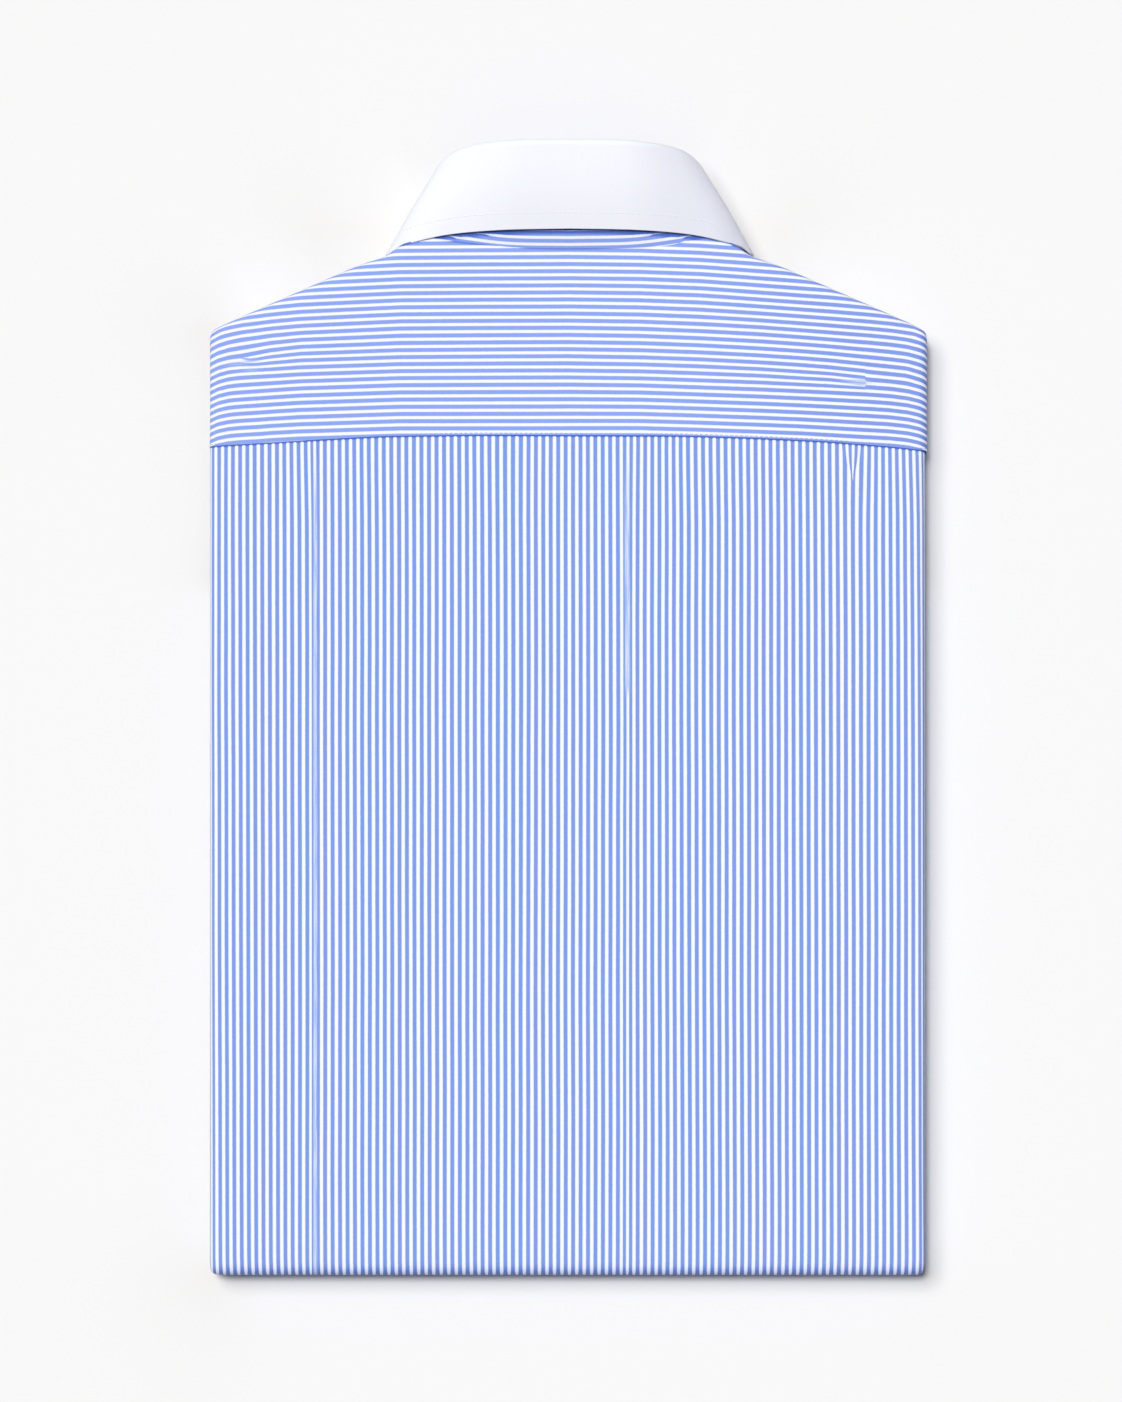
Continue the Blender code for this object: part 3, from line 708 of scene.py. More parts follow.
# rows from the seam up to the neck: the sheet's end on top, the folded edge, where the sheet
# lies flat again underneath, and where it ends there
yokeRows = {
    "centreY": (108.9, 125.0, 138.0, 144.0, 147.0, 149.0, 157.0, 163.0, 170.0, 177.0, 184.0),
    "topX": (136.1, 136.1, 136.1, 136.1, 135.8, 134.0, 122.0, 102.0, 82.0, 69.6, 56.0),
    "topY": (103.4, 122.0, 138.0, 144.6, 146.4, 147.4, 152.6, 161.5, 170.3, 175.4, 188.5),
    "edgeX": (143.6, 143.6, 143.6, 143.6, 142.9, 140.6, 125.0, 105.0, 85.0, 73.0, 66.8),
    "edgeY": (102.0, 121.6, 138.4, 148.6, 151.0, 152.5, 159.5, 168.3, 177.1, 181.1, 185.7),
    "underX": (136.1, 136.1, 136.1, 136.1, 135.6, 133.6, 122.0, 102.0, 82.0, 70.4, 64.2),
    "underY": (101.0, 121.0, 137.0, 144.0, 145.4, 147.0, 152.6, 161.5, 170.3, 174.4, 178.0),
    "endX": (97.6, 97.6, 97.6, 97.6, 130.5, 129.6, 116.1, 96.1, 76.1, 65.8, 62.6),
    "endY": (95.0, 108.0, 117.5, 124.5, 142.8, 144.6, 139.4, 148.2, 157.0, 162.0, 170.0),
}
yokeCut = {
    "thick": 0.5,
    "deep": 98.0,
    "proud": 0.12,
    "topSteps": 84,
    "rollSteps": 16,
    "underSteps": 7,
    "rowStep": 1.0,
    "fineStep": 0.36,
    "fineFrom": 127.0,
    "fineTo": 144.0,
    "neckFrom": 181.0,
    "neckSteps": 10,
    "shutColumns": (118.3, 118.5, 118.7, 118.9, 119.1),
    "seamShade": 1.0,
    "neckDark": 0.9,
    "neckX": (50.0, 56.0, 62.0, 72.4),
    "neckY": (189.2, 188.0, 186.5, 183.2),
}

# small puckers in the yoke: place, half length, half width, height, the way they run, and how
# much paler the stripe is on them
yokePuckers = (
    {"at": (-130.4, 138.1), "long": 8.5, "wide": 1.7, "high": 0.42, "turn": 0.16, "paleness": 0.75},
    {"at": (-127.0, 138.9), "long": 5.0, "wide": 0.6, "high": 0.0, "turn": 0.10, "paleness": 0.5},
    {"at": (-126.8, 135.2), "long": 4.5, "wide": 0.7, "high": 0.0, "turn": 0.04, "paleness": 0.75},
    {"at": (-125.0, 136.0), "long": 6.5, "wide": 1.1, "high": -0.30, "turn": 0.02, "paleness": 0.0},
    {"at": (-120.0, 141.8), "long": 6.5, "wide": 1.2, "high": -0.22, "turn": 0.12, "paleness": 0.0},
    {"at": (114.0, 130.6), "long": 7.0, "wide": 1.7, "high": 0.36, "turn": -0.12, "paleness": 0.8},
    {"at": (117.2, 130.5), "long": 3.4, "wide": 2.3, "high": 0.0, "turn": -0.12, "paleness": 1.15},
    {"at": (121.5, 129.2), "long": 5.0, "wide": 1.2, "high": -0.26, "turn": -0.10, "paleness": 0.0},
    {"at": (108.0, 133.8), "long": 6.0, "wide": 1.2, "high": -0.20, "turn": -0.12, "paleness": 0.0},
)

# The yoke's stripes, counted up from its seam: how high some of them lie at places across.
# One stripe more fits into the middle than at either side, and its ends die out in the puckers.
yokePlaces = {
    "x": (-141.8, -135.4, -131.0, -123.8, -119.4, -107.4, -67.4, 0.2, 28.6,
          52.6, 76.6, 92.6, 104.6, 118.5, 118.9, 128.6, 134.6, 139.8),
    "number": (0, 7, 9, 10, 12, 15, 20),
    "y": (
        (106.7, 107.6, 108.0, 108.4, 108.8, 109.5, 110.6, 110.7, 110.7,
         110.1, 109.3, 108.7, 108.0, 107.2, 107.2, 106.7, 106.1, 105.4),
        (126.3, 127.5, 127.9, 128.4, 128.7, 129.5, 130.8, 131.1, 130.7,
         129.9, 129.1, 128.4, 127.9, 127.2, 127.2, 126.5, 125.7, 124.9),
        (131.9, 133.3, 133.8, 134.2, 134.4, 135.1, 136.4, 136.7, 136.3,
         135.5, 134.5, 133.5, 132.8, 131.2, 130.2, 129.5, 128.7, 127.8),
        (134.7, 136.0, 136.4, 136.7, 137.0, 137.9, 139.2, 139.6, 139.1,
         138.3, 137.1, 136.1, 135.2, 133.7, 133.4, 132.4, 131.8, 130.7),
        (137.7, 139.0, 139.5, 141.0, 141.9, 143.3, 144.8, 145.2, 144.8,
         143.9, 142.6, 141.6, 140.7, 139.3, 139.3, 138.3, 137.6, 136.6),
        (146.5, 148.2, 149.1, 150.0, 150.6, 151.7, 153.5, 153.8, 153.4,
         152.4, 151.1, 150.0, 149.1, 148.0, 148.0, 147.1, 146.3, 145.4),
        (160.7, 162.4, 163.2, 164.1, 164.7, 165.8, 167.5, 167.9, 167.6,
         166.7, 165.0, 163.9, 163.1, 161.9, 161.9, 160.9, 160.1, 159.2),
    ),
}


def yokeFlatY(x, y):
    # the place up the flat cloth, so that the numbered stripes lie where they should; they dip at
    # the sides
    repeat = yokeWeave["repeat"]
    dip = np.maximum(np.abs(x) - 141, 0) * 0.14
    dip = dip + np.where(x > 0, 0.32, 0.2) * np.clip(np.abs(x) - 138.8, 0, 5.5)
    rows = [np.interp(x, yokePlaces["x"], row) - dip for row in yokePlaces["y"]]
    numbers = yokePlaces["number"]
    value = numbers[0] + (y - rows[0]) / repeat
    leftShut = 1 - smoothStep((x + 132.0) / 7.0)
    rightShut = smoothStep((x - 118.5) / 0.4)
    folds = ((leftShut, (y >= rows[4]) * 1.0), (rightShut, (y >= rows[2]) * 1.0))
    for k in range(len(rows) - 1):
        gap = rows[k + 1] - rows[k]
        part = (y - rows[k]) / gap
        steps = numbers[k + 1] - numbers[k]
        if numbers[k] == 10:
            # left of the pucker one of these two stripes is shut away
            inside = part * (steps - leftShut) + leftShut * (part >= 1)
        elif numbers[k] == 7:
            inside = part * (steps - rightShut) + rightShut * (part >= 1)
        else:
            inside = part * steps
        value = np.where((part >= 0) & (part < 1), numbers[k] + inside, value)
    value = np.where(y >= rows[-1], numbers[-1] + (y - rows[-1]) / repeat, value)
    return value * repeat, folds


def puckerSum(x, y, what):
    value = np.zeros_like(x)
    for pucker in yokePuckers:
        across, up = x - pucker["at"][0], y - pucker["at"][1]
        turn = pucker["turn"]
        along = across * math.cos(turn) + up * math.sin(turn)
        away = -across * math.sin(turn) + up * math.cos(turn)
        value += pucker[what] * bump(along / pucker["long"]) * bump(away / pucker["wide"])
    return value


def yokeColumns():
    # the columns' shares of the half width; some stand close together where a stripe is shut away
    shut = np.array(yokeCut["shutColumns"]) / yokeRows["topX"][0]
    return np.sort(np.concatenate([np.linspace(0, 1, yokeCut["topSteps"] + 1), shut]))


def yokeHalfRow(row, bend, columns):
    # half a row, from the middle of the back over the folded edge to its end underneath, and the
    # same points with the fold opened out
    cut = yokeCut
    centreY, topX, topY, edgeX, edgeY, underX, underY, endX, endY = row
    x = topX * columns
    y = centreY + (topY - centreY) * (columns**2 * bend + columns * (1 - bend))
    z = np.full_like(columns, fold["height"])
    out, drop = rollSteps(1.0, fold["stack"], cut["rollSteps"], fold["rollPower"])
    over = drop <= fold["stack"] / 2 + 1e-6
    flatX, flatY = np.where(over, topX, underX), np.where(over, topY, underY)
    rollX, rollY = flatX + (edgeX - flatX) * out, flatY + (edgeY - flatY) * out
    under = np.linspace(0, 1, cut["underSteps"] + 1)[1:]
    x = np.concatenate([x, rollX[1:], underX + (endX - underX) * under])
    y = np.concatenate([y, rollY[1:], underY + (endY - underY) * under])
    z = np.concatenate([z, fold["height"] - drop[1:], np.full(len(under), underZ)])
    half = np.stack([x, y, z], axis=1)
    way = wayAlong(half)
    beyond = np.maximum(way - way[len(columns) - 1], 0)
    away = np.array([edgeX - topX, edgeY - topY])
    away /= np.linalg.norm(away)
    openX = np.where(beyond > 0, topX + away[0] * beyond, x)
    openY = np.where(beyond > 0, topY + away[1] * beyond, y)
    return half, np.stack([openX, openY], axis=1)


def yokeForm():
    # the yoke's outer face and its flat places, both from the neck down, and how far each row lies
    # up from the seam
    cut = yokeCut
    rows = np.array(list(yokeRows.values())).T
    centre = rows[:, 0]
    # rows lie closer together where the puckers are
    fineY = np.concatenate([
        np.arange(centre[0], cut["fineFrom"], cut["rowStep"]),
        np.arange(cut["fineFrom"], cut["fineTo"], cut["fineStep"]),
        np.arange(cut["fineTo"], cut["neckFrom"], cut["rowStep"]),
        np.linspace(cut["neckFrom"], centre[-1], cut["neckSteps"]),
    ])
    fine = np.stack([np.interp(fineY, centre, values) for values in rows.T], axis=1)
    for _ in range(2):
        fine[2:-2] = (fine[1:-3] + 2 * fine[2:-2] + fine[3:-1]) / 4
    columns = yokeColumns()
    bends = smoothStep((fineY - 177.0) / 6.6)
    halves = [yokeHalfRow(row, bend, columns) for row, bend in zip(fine, bends)]
    grid = np.array([np.concatenate([half[:0:-1] * (-1, 1, 1), half]) for half, _ in halves])
    flat = np.array([np.concatenate([opened[:0:-1] * (-1, 1), opened]) for _, opened in halves])
    # the seam itself follows the line that the back's top edge follows
    up = fineY[:, None] - fineY[0]
    shift = (seamAt(wayFromMiddle(grid[0])) - grid[0, :, 1]) * smoothStep(1 - up / 14.0)
    grid[..., 1] += shift
    flat[..., 1] += shift
    return grid[::-1], flat[::-1], up[::-1]


def buildYoke():
    cut = yokeCut
    grid, flat, up = yokeForm()
    x, y = grid[..., 0], grid[..., 1]
    onTop = grid[..., 2] > fold["height"] - 1.0
    swell = 0.12 * np.sin(x * 0.047 + 0.6) * np.sin(y * 0.085 + 1.3) + 0.05 * np.sin(x * 0.12 + y * 0.07)
    lift = (puckerSum(x, y, "high") + swell * smoothStep((up - 3.1) / 12)) * onTop
    outer = pushOut(grid, lift + cut["proud"] * smoothStep(1 - up / 9.0))
    v, folds = yokeFlatY(flat[..., 0], flat[..., 1])
    cloth = np.stack([flat[..., 0], v], axis=-1)
    skip = (1, yokeWeave["repeat"], folds)
    piece = clothMesh("shoulderYoke", outer, cloth, cut["thick"], yokeStripe, skip=skip)
    # paler streaks on the puckers
    pointValue(piece, "paleAndHighlight", np.clip(puckerSum(x, y, "paleness"), 0, 1) * onTop)
    # painted shade: the dark line under the leaf goes on past the neck seam, along the leaf's edge
    neckLine = np.minimum(grid[0, :, 1], np.interp(np.abs(x), cut["neckX"], cut["neckY"]))
    neckEdge = smoothStep(1 - (neckLine - y) / cut["seamShade"]) * smoothStep((75.0 - np.abs(x)) / 8.0)
    neckEdge *= grid[..., 2] > fold["height"] - 4.0
    # away from the light, to the right, the blue is a little deeper
    rightShade = 0.2 * smoothStep((x - 30.0) / 100.0) + 0.4 * smoothStep((x - 139.0) / 4.0)
    pointValue(piece, "seam", np.clip(cut["neckDark"] * neckEdge + rightShade, 0, 1))
    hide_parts("yoke")
    widths = [float(wayAlong(grid[row])[-1]) for row in (len(grid) // 2, -1)]
    size = (max(widths) * mm, cut["deep"] * mm)
    return piece, outer, size, flatArea(grid, size)


yokePiece, yokeGrid, yokeSize, yokeArea = buildYoke()
print("yoke laid")


# stations from the centre back round to the centre front: the neck seam, the fold at the top of
# the stand, and the leaf's outer edge
collarLines = {
    "seam": ((0, 184.1, 26), (25, 184.6, 26), (45, 187, 26), (57, 188.9, 24.8), (63, 186.2, 20),
             (61.4, 176, 13.6), (55, 150, 13.8), (38, 120, 13.8), (18, 103, 13.8), (0, 98.5, 13.8)),
    "fold": ((0, 224.9, 38.2), (24, 224.4, 37.8), (41.5, 222.2, 31.4), (50.4, 217.6, 25.0), (53.4, 210, 21.4),
             (52, 197, 16.5), (43, 172, 10.2), (26, 148, 8.4), (10, 132, 7.8), (0, 128, 7.6)),
    "edge": ((0, 191.5, 31.6), (26, 191, 31.4), (47, 189.5, 28.8), (62, 186.6, 26.6), (72.4, 183.3, 18.6),
             (73.6, 176, 9.8), (68, 136, 6), (59, 106, 3.2), (46, 81, 2.2), (30, 84, 2.2)),
}
collarCut = {
    "steps": 12,
    "shift": 0.5,
    "lap": 10.0,
    "lapRise": 2.0,
    "lapOut": 1.8,
    "lapReach": 2,
    "wall": 1.5,
    "standThick": 1.2,
    "standSteps": 40,
    "standTuck": 0.03,
    "leafThick": 1.1,
    "leafGap": 0.5,
    "leafBulge": 1.2,
    "leafSteps": 22,
    "leafLast": 8,
    "rollFrom": 150.0,
    "rollSteps": 11,
    "rollIn": 0.6,
    "edgeRound": 0.32,
}


def smoothed(points, steps):
    # a smooth line through the points
    ends = [2 * points[0] - points[1], 2 * points[-1] - points[-2]]
    padded = np.vstack([ends[:1], points, ends[1:]])
    line = []
    for i in range(1, len(padded) - 2):
        before, start, end, after = padded[i - 1:i + 3]
        for step in range(steps):
            t = step / steps
            line.append(start + 0.5 * t * (end - before)
                        + t * t * (before - 2.5 * start + 2 * end - 0.5 * after)
                        + t**3 * (1.5 * (start - end) + 0.5 * (after - before)))
    line.append(padded[-2])
    return np.array(line)


def collarRing():
    table = np.concatenate([np.array(collarLines[name], float) for name in ("seam", "fold", "edge")], axis=1)
    half = smoothed(table, collarCut["steps"]).reshape(-1, 3, 3)
    ring = np.concatenate([half[:0:-1] * (-1, 1, 1), half])
    ring[:, :, 0] += collarCut["shift"]
    return ring


def collarFrames(ring):
    along = np.gradient((ring[:, 0] + ring[:, 1]) / 2, axis=0)
    up = ring[:, 1] - ring[:, 0]
    up /= np.linalg.norm(up, axis=1, keepdims=True)
    out = np.cross(along, up)
    out /= np.linalg.norm(out, axis=1, keepdims=True)
    return up, out


def collarLap(count):
    # the left end lies a little further out, so that it passes over the right end
    part = np.clip(1 - np.arange(count) / (collarCut["lapReach"] * collarCut["steps"]), 0, 1)
    return collarCut["lapOut"] * smoothStep(part)[:, None]


def buildStand():
    cut = collarCut
    whole = collarRing()
    out = collarFrames(whole)[1]
    rise = collarLap(len(whole))
    ends = np.linspace(1, 0, 5)[:-1]
    # both ends go on past the middle, one over the other
    first = np.array([whole[0] + (cut["lap"] * e, cut["lapRise"] * e * e, 0.0) for e in ends])
    last = np.array([whole[-1] + (-cut["lap"] * e, cut["lapRise"] * e * e, 0.0) for e in ends[::-1]])
    ring = np.concatenate([first, whole, last])
    out = np.concatenate([np.repeat(out[:1], len(first), 0), out, np.repeat(out[-1:], len(last), 0)])
    rise = np.concatenate([np.repeat(rise[:1], len(first), 0), rise, np.repeat(rise[-1:], len(last), 0)])
    part = np.linspace(1, -cut["standTuck"], cut["standSteps"] + 1)[:, None, None]
    grid = ring[:, 0] + (ring[:, 1] - ring[:, 0]) * part + out * rise
    grid = grid + out * (0.35 * np.sin(math.pi * np.maximum(part, 0)))
    way = wayFromMiddle((ring[:, 0] + ring[:, 1]) / 2)
    tall = np.linalg.norm(ring[:, 1] - ring[:, 0], axis=1)
    cloth = np.stack(np.broadcast_arrays(way[None, :], tall[None, :] * part[..., 0]), axis=-1)
    inner = grid - out * cut["standThick"]
    piece = clothMesh("collarStand", grid, cloth, cut["standThick"], standStripe, inner=inner)
    # close under the leaf's edge hardly any light comes in
    edge = ring[:, 2][ring[:, 2, 1] > 180]
    edge = edge[np.argsort(edge[:, 0])]
    shaded = smoothStep((grid[..., 1] - np.interp(grid[..., 0], edge[:, 0], edge[:, 1])) / 0.9 + 2.6)
    pointValue(piece, "seam", 0.92 * shaded * (grid[..., 2] > 20))
    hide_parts("collar_stand")


def leafForm():
    # the leaf's outer and inner face, from behind the stand over its top and down to the edge
    cut = collarCut
    whole = collarRing()
    up, out = collarFrames(whole)
    rise = collarLap(len(whole))
    skip = (len(collarLines["seam"]) - 1 - cut["leafLast"]) * cut["steps"]
    keep = slice(skip, len(whole) - skip)
    ring, up, out, rise = whole[keep], up[keep], out[keep], rise[keep]
    thick = cut["leafThick"]
    reach = cut["wall"] + cut["leafGap"]
    top = ring[:, 1] + out * rise
    outer, inner = [], []
    for angle in np.radians(np.linspace(cut["rollFrom"], 0, cut["rollSteps"])):
        way = up * np.sin(angle) + out * np.cos(angle)
        inward = out * (-cut["rollIn"] * max(-math.cos(angle), 0))
        outer.append(top + way * reach + inward)
        inner.append(top + way * (reach - thick) + inward)
    first = outer[-1]
    down = ring[:, 2] - first
    along = np.gradient((ring[:, 1] + ring[:, 2]) / 2, axis=0)
    face = np.cross(down, along)
    face /= np.linalg.norm(face, axis=1, keepdims=True)
    for step in range(1, cut["leafSteps"] + 1):
        part = step / cut["leafSteps"]
        point = first + down * part + face * cut["leafBulge"] * math.sin(math.pi * part)
        outer.append(point)
        inner.append(point - (out + (face - out) * min(part * 2, 1.0)) * thick)
    return np.array(outer), np.array(inner), wayFromMiddle(ring[:, 2])


def buildLeaf():
    cut = collarCut
    outer, inner, way = leafForm()
    tall = np.cumsum(np.linalg.norm(np.diff(outer, axis=0), axis=2), axis=0)
    tall = np.concatenate([np.zeros((1, tall.shape[1])), tall])
    cloth = np.stack(np.broadcast_arrays(way[None, :], -tall), axis=-1)
    piece = clothMesh("collarLeaf", outer, cloth, cut["leafThick"], collarWhite, inner=inner)
    pointValue(piece, "turned", smoothStep((outer[..., 0] - 20.0) / 40.0))
    edge = piece.modifiers.new("Turned edge", "BEVEL")
    edge.width = cut["edgeRound"] * mm
    edge.segments = 3
    edge.limit_method = "ANGLE"
    edge.angle_limit = math.radians(55)
    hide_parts("collar_leaf")
    size = (float(np.ptp(way)) * mm, float(tall[-1].max()) * mm)
    return piece, outer, size, flatArea(outer, size)


buildStand()
leafPiece, leafGrid, leafSize, leafArea = buildLeaf()
print("collar laid")


frontRows = {
    "y": (20.0, 60.0, 97.4, 102.0, 119.2, 133.2, 149.4, 165.6),
    "inX": (0.2, 0.2, 0.2, 18.6, 39.0, 47.6, 56.2, 61.4),
    "outX": (116.0, 116.0, 120.0, 122.0, 126.0, 128.0, 108.0, 80.0),
}
frontCut = {"thick": 0.8, "z": 14.95, "rows": 60, "columns": 44, "flat": (128.0, 146.0)}


def buildFront(name, node, side):
    cut = frontCut
    y = np.linspace(frontRows["y"][-1], frontRows["y"][0], cut["rows"])
    inX = np.interp(y, frontRows["y"], frontRows["inX"])
    inX = inX + side * collarCut["shift"] * (inX > 1)
    outX = np.interp(y, frontRows["y"], frontRows["outX"])
    part = np.linspace(0, 1, cut["columns"])
    x = side * (inX[:, None] + (outX - inX)[:, None] * part)
    y = np.broadcast_to(y[:, None], x.shape)
    z = cut["z"] + 0.12 * (1 + np.sin(x * 0.11 + y * 0.03) * np.sin(y * 0.06 + 1.0))
    grid = np.stack([x, y, z], axis=-1)
    if side > 0:
        grid = grid[:, ::-1]
    # its face is turned to the table, so the cloth's thickness goes up
    inner = grid + (0, 0, cut["thick"])
    cloth = grid[..., :2] + (side * 0.4, 0)
    piece = clothMesh(name, grid, cloth, cut["thick"], backStripe, inner=inner)
    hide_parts(node)


buildFront("frontLeft", "front_left", -1)
buildFront("frontRight", "front_right", 1)

placketCut = {"width": 34.0, "low": 20.0, "high": 97.0, "z": 13.3, "thick": 1.2}


def buildPlacket():
    cut = placketCut
    half = cut["width"] / 2
    x, y = np.meshgrid(np.linspace(-half, half, 15), np.linspace(cut["high"], cut["low"], 34))
    z = cut["z"] + 0.1 * (1 + np.sin(y * 0.12)) * (np.abs(x) / half) ** 2
    grid = np.stack([x, y, z], axis=-1)
    inner = grid + (0, 0, cut["thick"])
    piece = clothMesh("frontPlacket", grid, grid[..., :2], cut["thick"], backStripe, inner=inner)
    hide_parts("placket")


buildPlacket()

sleeveCut = {
    "low": ((77.0, 68.5), (136.0, 55.5)),
    "high": ((84.0, 114.0), (137.0, 136.0)),
    "zLow": 3.6,
    "zHigh": 12.85,
    "thick": 0.8,
    "around": 72,
    "rows": 46,
    "power": 3.4,
    "long": 62.0,
    "flatLong": 63.5,
}


def buildSleeve(name, node, side):
    # the stretch under a shoulder: a flattened tube
    cut = sleeveCut
    t = np.linspace(1, 0, cut["rows"])[:, None]
    angle = np.linspace(0, 2 * math.pi, cut["around"] + 1)[None, :]
    cosine, sine = powered(np.cos(angle), cut["power"]), powered(np.sin(angle), cut["power"])
    low, high = np.array(cut["low"]), np.array(cut["high"])
    inner, outer = low[0] + (high[0] - low[0]) * t, low[1] + (high[1] - low[1]) * t
    middle, half = (inner + outer) / 2, (outer - inner) / 2
    flatEnds = 0.3 + 0.7 * smoothStep(np.minimum(t, 1 - t) / 0.16)
    halfZ = (cut["zHigh"] - cut["zLow"]) / 2
    x = middle[:, 0:1] + half[:, 0:1] * cosine
    y = middle[:, 1:2] + half[:, 1:2] * cosine
    # soft wrinkles across the folded sleeve
    crumple = 0.38 * np.sin(y * 0.21 + x * 0.09 + side) * np.sin(x * 0.13 + 0.7 * side) - 0.3
    z = (cut["zHigh"] + cut["zLow"]) / 2 + (halfZ * sine + crumple * sine) * flatEnds
    grid = np.stack([side * x, y, z], axis=-1)
    if side < 0:
        grid = grid[:, ::-1]
    around = wayAlong(grid[cut["rows"] // 2])
    cloth = np.stack(np.broadcast_arrays(around[None, :], t * cut["long"]), axis=-1)
    normal = clothNormals(grid)
    outward = np.sign(((grid - grid.mean(axis=1, keepdims=True)) * normal).sum())
    inner = grid - normal * outward * cut["thick"]
    piece = clothMesh(name, grid, cloth, cut["thick"], backStripe, inner=inner, tube=True)
    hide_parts(node)


buildSleeve("sleeveLeft", "sleeve_left", -1)
buildSleeve("sleeveRight", "sleeve_right", 1)
print("underside laid")

layerCut = {
    "count": 4,
    "first": 1.95,
    "apart": 1.9,
    "thick": 1.35,
    "topX": (0.0, 18.0, 38.0, 52.0, 60.0, 100.0, 145.0),
    "topY": (92.0, 96.0, 112.0, 138.0, 143.0, 143.0, 139.0),
    "hemInset": 4.0,
    "hemStep": 3.0,
    "topStep": 1.4,
    "columns": 65,
    "rowStep": 9.0,
    "turnSteps": 14,
    "halfWidths": (137.4, 138.4, 137.8, 136.2),
}


def buildLayer(number):
    cut = layerCut
    half = cut["halfWidths"][number]
    deep = cut["first"] + cut["apart"] * number
    x = np.linspace(-half, half, cut["columns"])
    topY = np.interp(np.abs(x), cut["topX"], cut["topY"]) - cut["topStep"] * number
    endY = hemLine(x) - cut["hemInset"] - cut["hemStep"] * number
    rows = []
    for station in backStations(cut["rowStep"], cut["rowStep"], cut["turnSteps"]):
        sag = 0.12 * np.sin(x * 0.09 + number) if station[0] in ("upper", "under") else 0.0
        rows.append(placeLayer(x, station, deep + sag, topY, endY))
    grid = np.array(rows)
    down = wayAlong(grid[:, cut["columns"] // 2])
    cloth = np.stack(np.broadcast_arrays(x[None, :] + 0.7 * number, -down[:, None]), axis=-1)
    piece = clothMesh("hiddenLayer" + str(number + 1), grid, cloth, cut["thick"], backStripe)
    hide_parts("folded_layers")


for number in range(layerCut["count"]):
    buildLayer(number)
print("hidden layers laid")


leafStitch = {"in": 6.8, "pitch": 2.1, "long": 1.55, "wide": 0.34, "tall": 0.26, "proud": 0.02}
yokeStitch = {"in": 0.75, "pitch": 2.0, "long": 1.6, "wide": 0.3, "tall": 0.2, "proud": -0.02}


def pointAt(line, way, place):
    return Vector([np.interp(place, way, line[:, axis]) for axis in range(3)])


def stitchRun(name, line, normal, cut, material):
    # one stitch is modelled, then laid along the line again and again
    bpy.ops.mesh.primitive_uv_sphere_add(segments=8, ring_count=5, radius=0.5)
    sample = bpy.context.active_object
    way = wayAlong(line)
    count = int(way[-1] / cut["pitch"])
    run = bmesh.new()
    for place in (np.arange(count) + 0.5) * way[-1] / count:
        before, spot, after = (pointAt(line, way, at) for at in (place - 0.4, place, place + 0.4))
        up = pointAt(normal, way, place).normalized()
        ahead = after - before
        ahead = (ahead - up * ahead.dot(up)).normalized()
        side = up.cross(ahead)
        made = len(run.verts)
        run.from_mesh(sample.data)
        run.verts.ensure_lookup_table()
        for vert in run.verts[made:]:
            local = vert.co
            off = ahead * local.x * cut["long"] + side * local.y * cut["wide"]
            vert.co = (spot + off + up * (local.z * cut["tall"] + cut["proud"])) * mm
    data = bpy.data.meshes.new(name)
    run.to_mesh(data)
    run.free()
    bpy.data.objects.remove(sample, do_unlink=True)
    data.polygons.foreach_set("use_smooth", np.ones(len(data.polygons), dtype=bool))
    data.materials.append(material)
    piece = bpy.data.objects.new(name, data)
    bpy.context.scene.collection.objects.link(piece)
    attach(piece, "root")
    return piece


def lineAcross(grid, distance):
    # a line that stays that far up from the grid's last row, and its normals
    normal = clothNormals(grid)
    line, face = [], []
    for column in range(grid.shape[1]):
        points = grid[::-1, column]
        way = wayAlong(points)
        line.append(pointAt(points, way, distance))
        face.append(pointAt(normal[::-1, column], way, distance))
    return np.array(line), np.array(face)


def within(line, normal, ends):
    # without the stretch at either end
    way = wayAlong(line)
    keep = (way > ends) & (way < way[-1] - ends)
    return line[keep], normal[keep]


leafLine, leafNormal = within(*lineAcross(leafGrid, leafStitch["in"]), leafStitch["in"])
leafStitches = stitchRun("leafStitches", leafLine, leafNormal, leafStitch, whiteThread)

yokeLine, yokeNormal = lineAcross(yokeGrid, yokeStitch["in"])
yokeStitches = stitchRun("yokeStitches", yokeLine, yokeNormal, yokeStitch, blueThread)
print("stitches sewn")


def pearlMaterial():
    material, tree, shader = newMaterial("pearl_button")
    place = addNode(tree, "ShaderNodeTexCoord")
    noise = addNode(tree, "ShaderNodeTexNoise")
    noise.inputs["Scale"].default_value = 260.0
    noise.inputs["Detail"].default_value = 3.0
    tree.links.new(place.outputs["Object"], noise.inputs["Vector"])
    pearl = mixColour(tree, noise.outputs["Fac"], (0.80, 0.79, 0.76), (0.93, 0.92, 0.90))
    tree.links.new(pearl, shader.inputs["Base Color"])
    shader.inputs["Roughness"].default_value = 0.22
    shader.inputs["Coat Weight"].default_value = 0.4
    shader.inputs["Coat Roughness"].default_value = 0.12
    return material


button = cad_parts["button_collar"]
button.data.materials.clear()
button.data.materials.append(pearlMaterial())


# Painted shade on the table's paper round the shirt, to take back the light that the shirt's sides
# throw on it: boxes round the body, the collar and the shoulders, in metres, and how fast the shade
# fades away from them
paperShade = {
    "colour": (0.795, 0.772, 0.730),
    "body": (-0.143, -0.222, 0.128, 0.148),
    "collar": (-0.060, 0.140, 0.045, 0.222),
    "bodyFade": 0.018,
    "bodyPart": 0.32,
    "shoulders": (-0.102, 0.150, 0.088, 0.192),
    "shoulderFade": 0.022,
    "shoulderPart": 0.6,
}


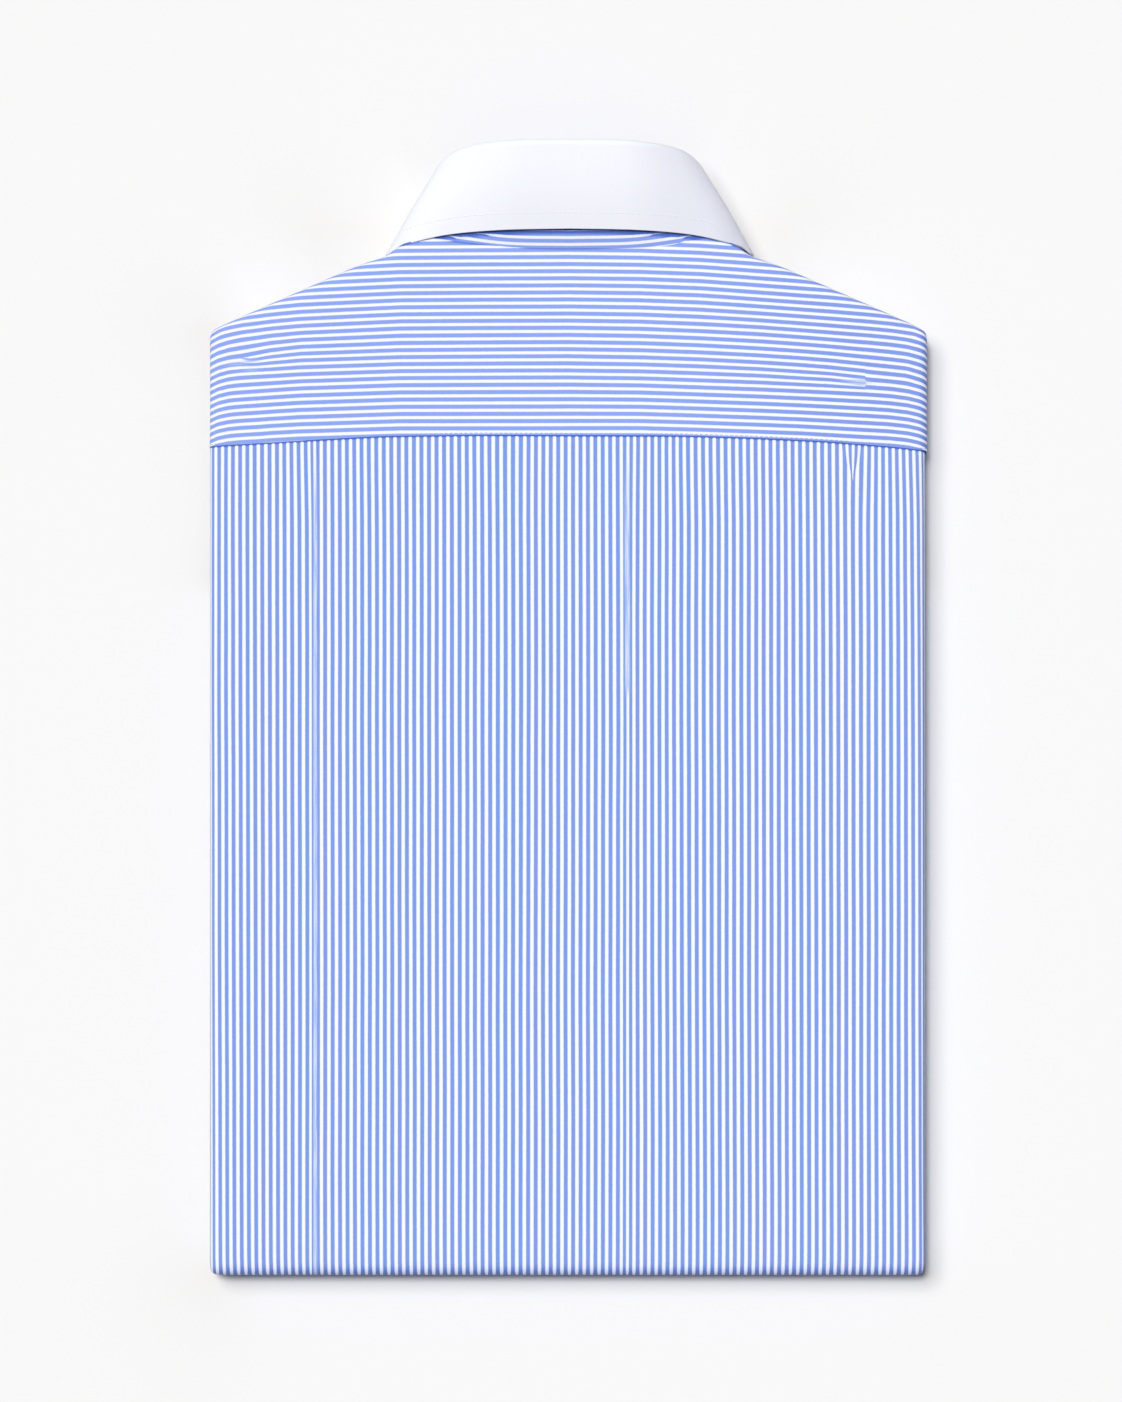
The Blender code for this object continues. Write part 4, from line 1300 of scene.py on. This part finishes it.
def boxDistance(tree, x, y, box):
    # how far a place on the table lies outside a box of it, in metres
    gaps = []
    for value, low, high in ((x, box[0], box[2]), (y, box[1], box[3])):
        off = mathNode(tree, "ABSOLUTE", mathNode(tree, "SUBTRACT", value, (low + high) / 2))
        gap = mathNode(tree, "MAXIMUM", mathNode(tree, "SUBTRACT", off, (high - low) / 2), 0.0)
        gaps.append(mathNode(tree, "MULTIPLY", gap, gap))
    return mathNode(tree, "SQRT", mathNode(tree, "ADD", *gaps))


def paperNear(tree, x, y):
    # 1 where the table is darkest, 0 well away from the shirt
    cut = paperShade
    body, collar = boxDistance(tree, x, y, cut["body"]), boxDistance(tree, x, y, cut["collar"])
    gap = mathNode(tree, "MINIMUM", body, collar)
    body = mathNode(tree, "EXPONENT", mathNode(tree, "DIVIDE", gap, -cut["bodyFade"]))
    # more so on the left, where the side is lit
    left = mathNode(tree, "MULTIPLY_ADD", x, -43.5, -5.2, clamp=True)
    part = mathNode(tree, "MULTIPLY_ADD", left, 1.0 - cut["bodyPart"], cut["bodyPart"])
    shoulders = boxDistance(tree, x, y, cut["shoulders"])
    shoulders = mathNode(tree, "EXPONENT", mathNode(tree, "DIVIDE", shoulders, -cut["shoulderFade"]))
    shoulders = mathNode(tree, "MULTIPLY", shoulders, cut["shoulderPart"])
    return mathNode(tree, "MAXIMUM", mathNode(tree, "MULTIPLY", body, part), shoulders)


def floorMaterial():
    material, tree, shader = newMaterial("paper_table")
    place = addNode(tree, "ShaderNodeTexCoord")
    noise = addNode(tree, "ShaderNodeTexNoise")
    noise.inputs["Scale"].default_value = 900.0
    noise.inputs["Detail"].default_value = 2.0
    tree.links.new(place.outputs["Object"], noise.inputs["Vector"])
    paper = mixColour(tree, noise.outputs["Fac"], (0.884, 0.880, 0.876), (0.900, 0.896, 0.892))
    split = addNode(tree, "ShaderNodeSeparateXYZ")
    tree.links.new(place.outputs["Object"], split.inputs[0])
    near = paperNear(tree, split.outputs[0], split.outputs[1])
    tree.links.new(mixColour(tree, near, paper, paperShade["colour"]), shader.inputs["Base Color"])
    shader.inputs["Roughness"].default_value = 0.9
    shader.inputs["Specular IOR Level"].default_value = 0.1
    return material


bpy.ops.mesh.primitive_plane_add(size=6.0, location=(0, 0, -0.0002))
table = bpy.context.active_object
table.name = "table"
table.data.materials.append(floorMaterial())

scene = bpy.context.scene
scene.view_settings.view_transform = "Standard"

world = bpy.data.worlds.new("studio")
scene.world = world
world.use_nodes = True
sky = world.node_tree.nodes["Background"]
sky.inputs["Color"].default_value = (0.90, 0.94, 1.0, 1.0)
sky.inputs["Strength"].default_value = 0.1


def softLight(name, leanX, leanY, spread, strength, colour):
    # far off, so that it's even over the table; it leans that many degrees left and up the photo
    bpy.ops.object.light_add(type="SUN", location=(-1.5, 1.5, 3.5))
    light = bpy.context.active_object
    light.name = name
    light.data.angle = math.radians(spread)
    light.data.energy = strength
    light.data.color = colour
    aim = Vector((math.tan(math.radians(leanX)), -math.tan(math.radians(leanY)), -1.0))
    light.rotation_mode = "QUATERNION"
    light.rotation_quaternion = aim.to_track_quat("-Z", "Y")


softLight("overheadLight", 5.0, 9.0, 9.0, 1.57, (1.0, 1.0, 1.0))
softLight("keyLight", 14.0, 15.0, 24.0, 1.6, (1.0, 0.998, 0.99))

bpy.ops.object.camera_add(location=(-0.003, 0.0029, 3.142), rotation=(0, 0, 0))
camera = bpy.context.active_object
camera.name = "photoCamera"
camera.data.lens = 200.0
camera.data.sensor_width = 36.0
scene.camera = camera

print("scene set")
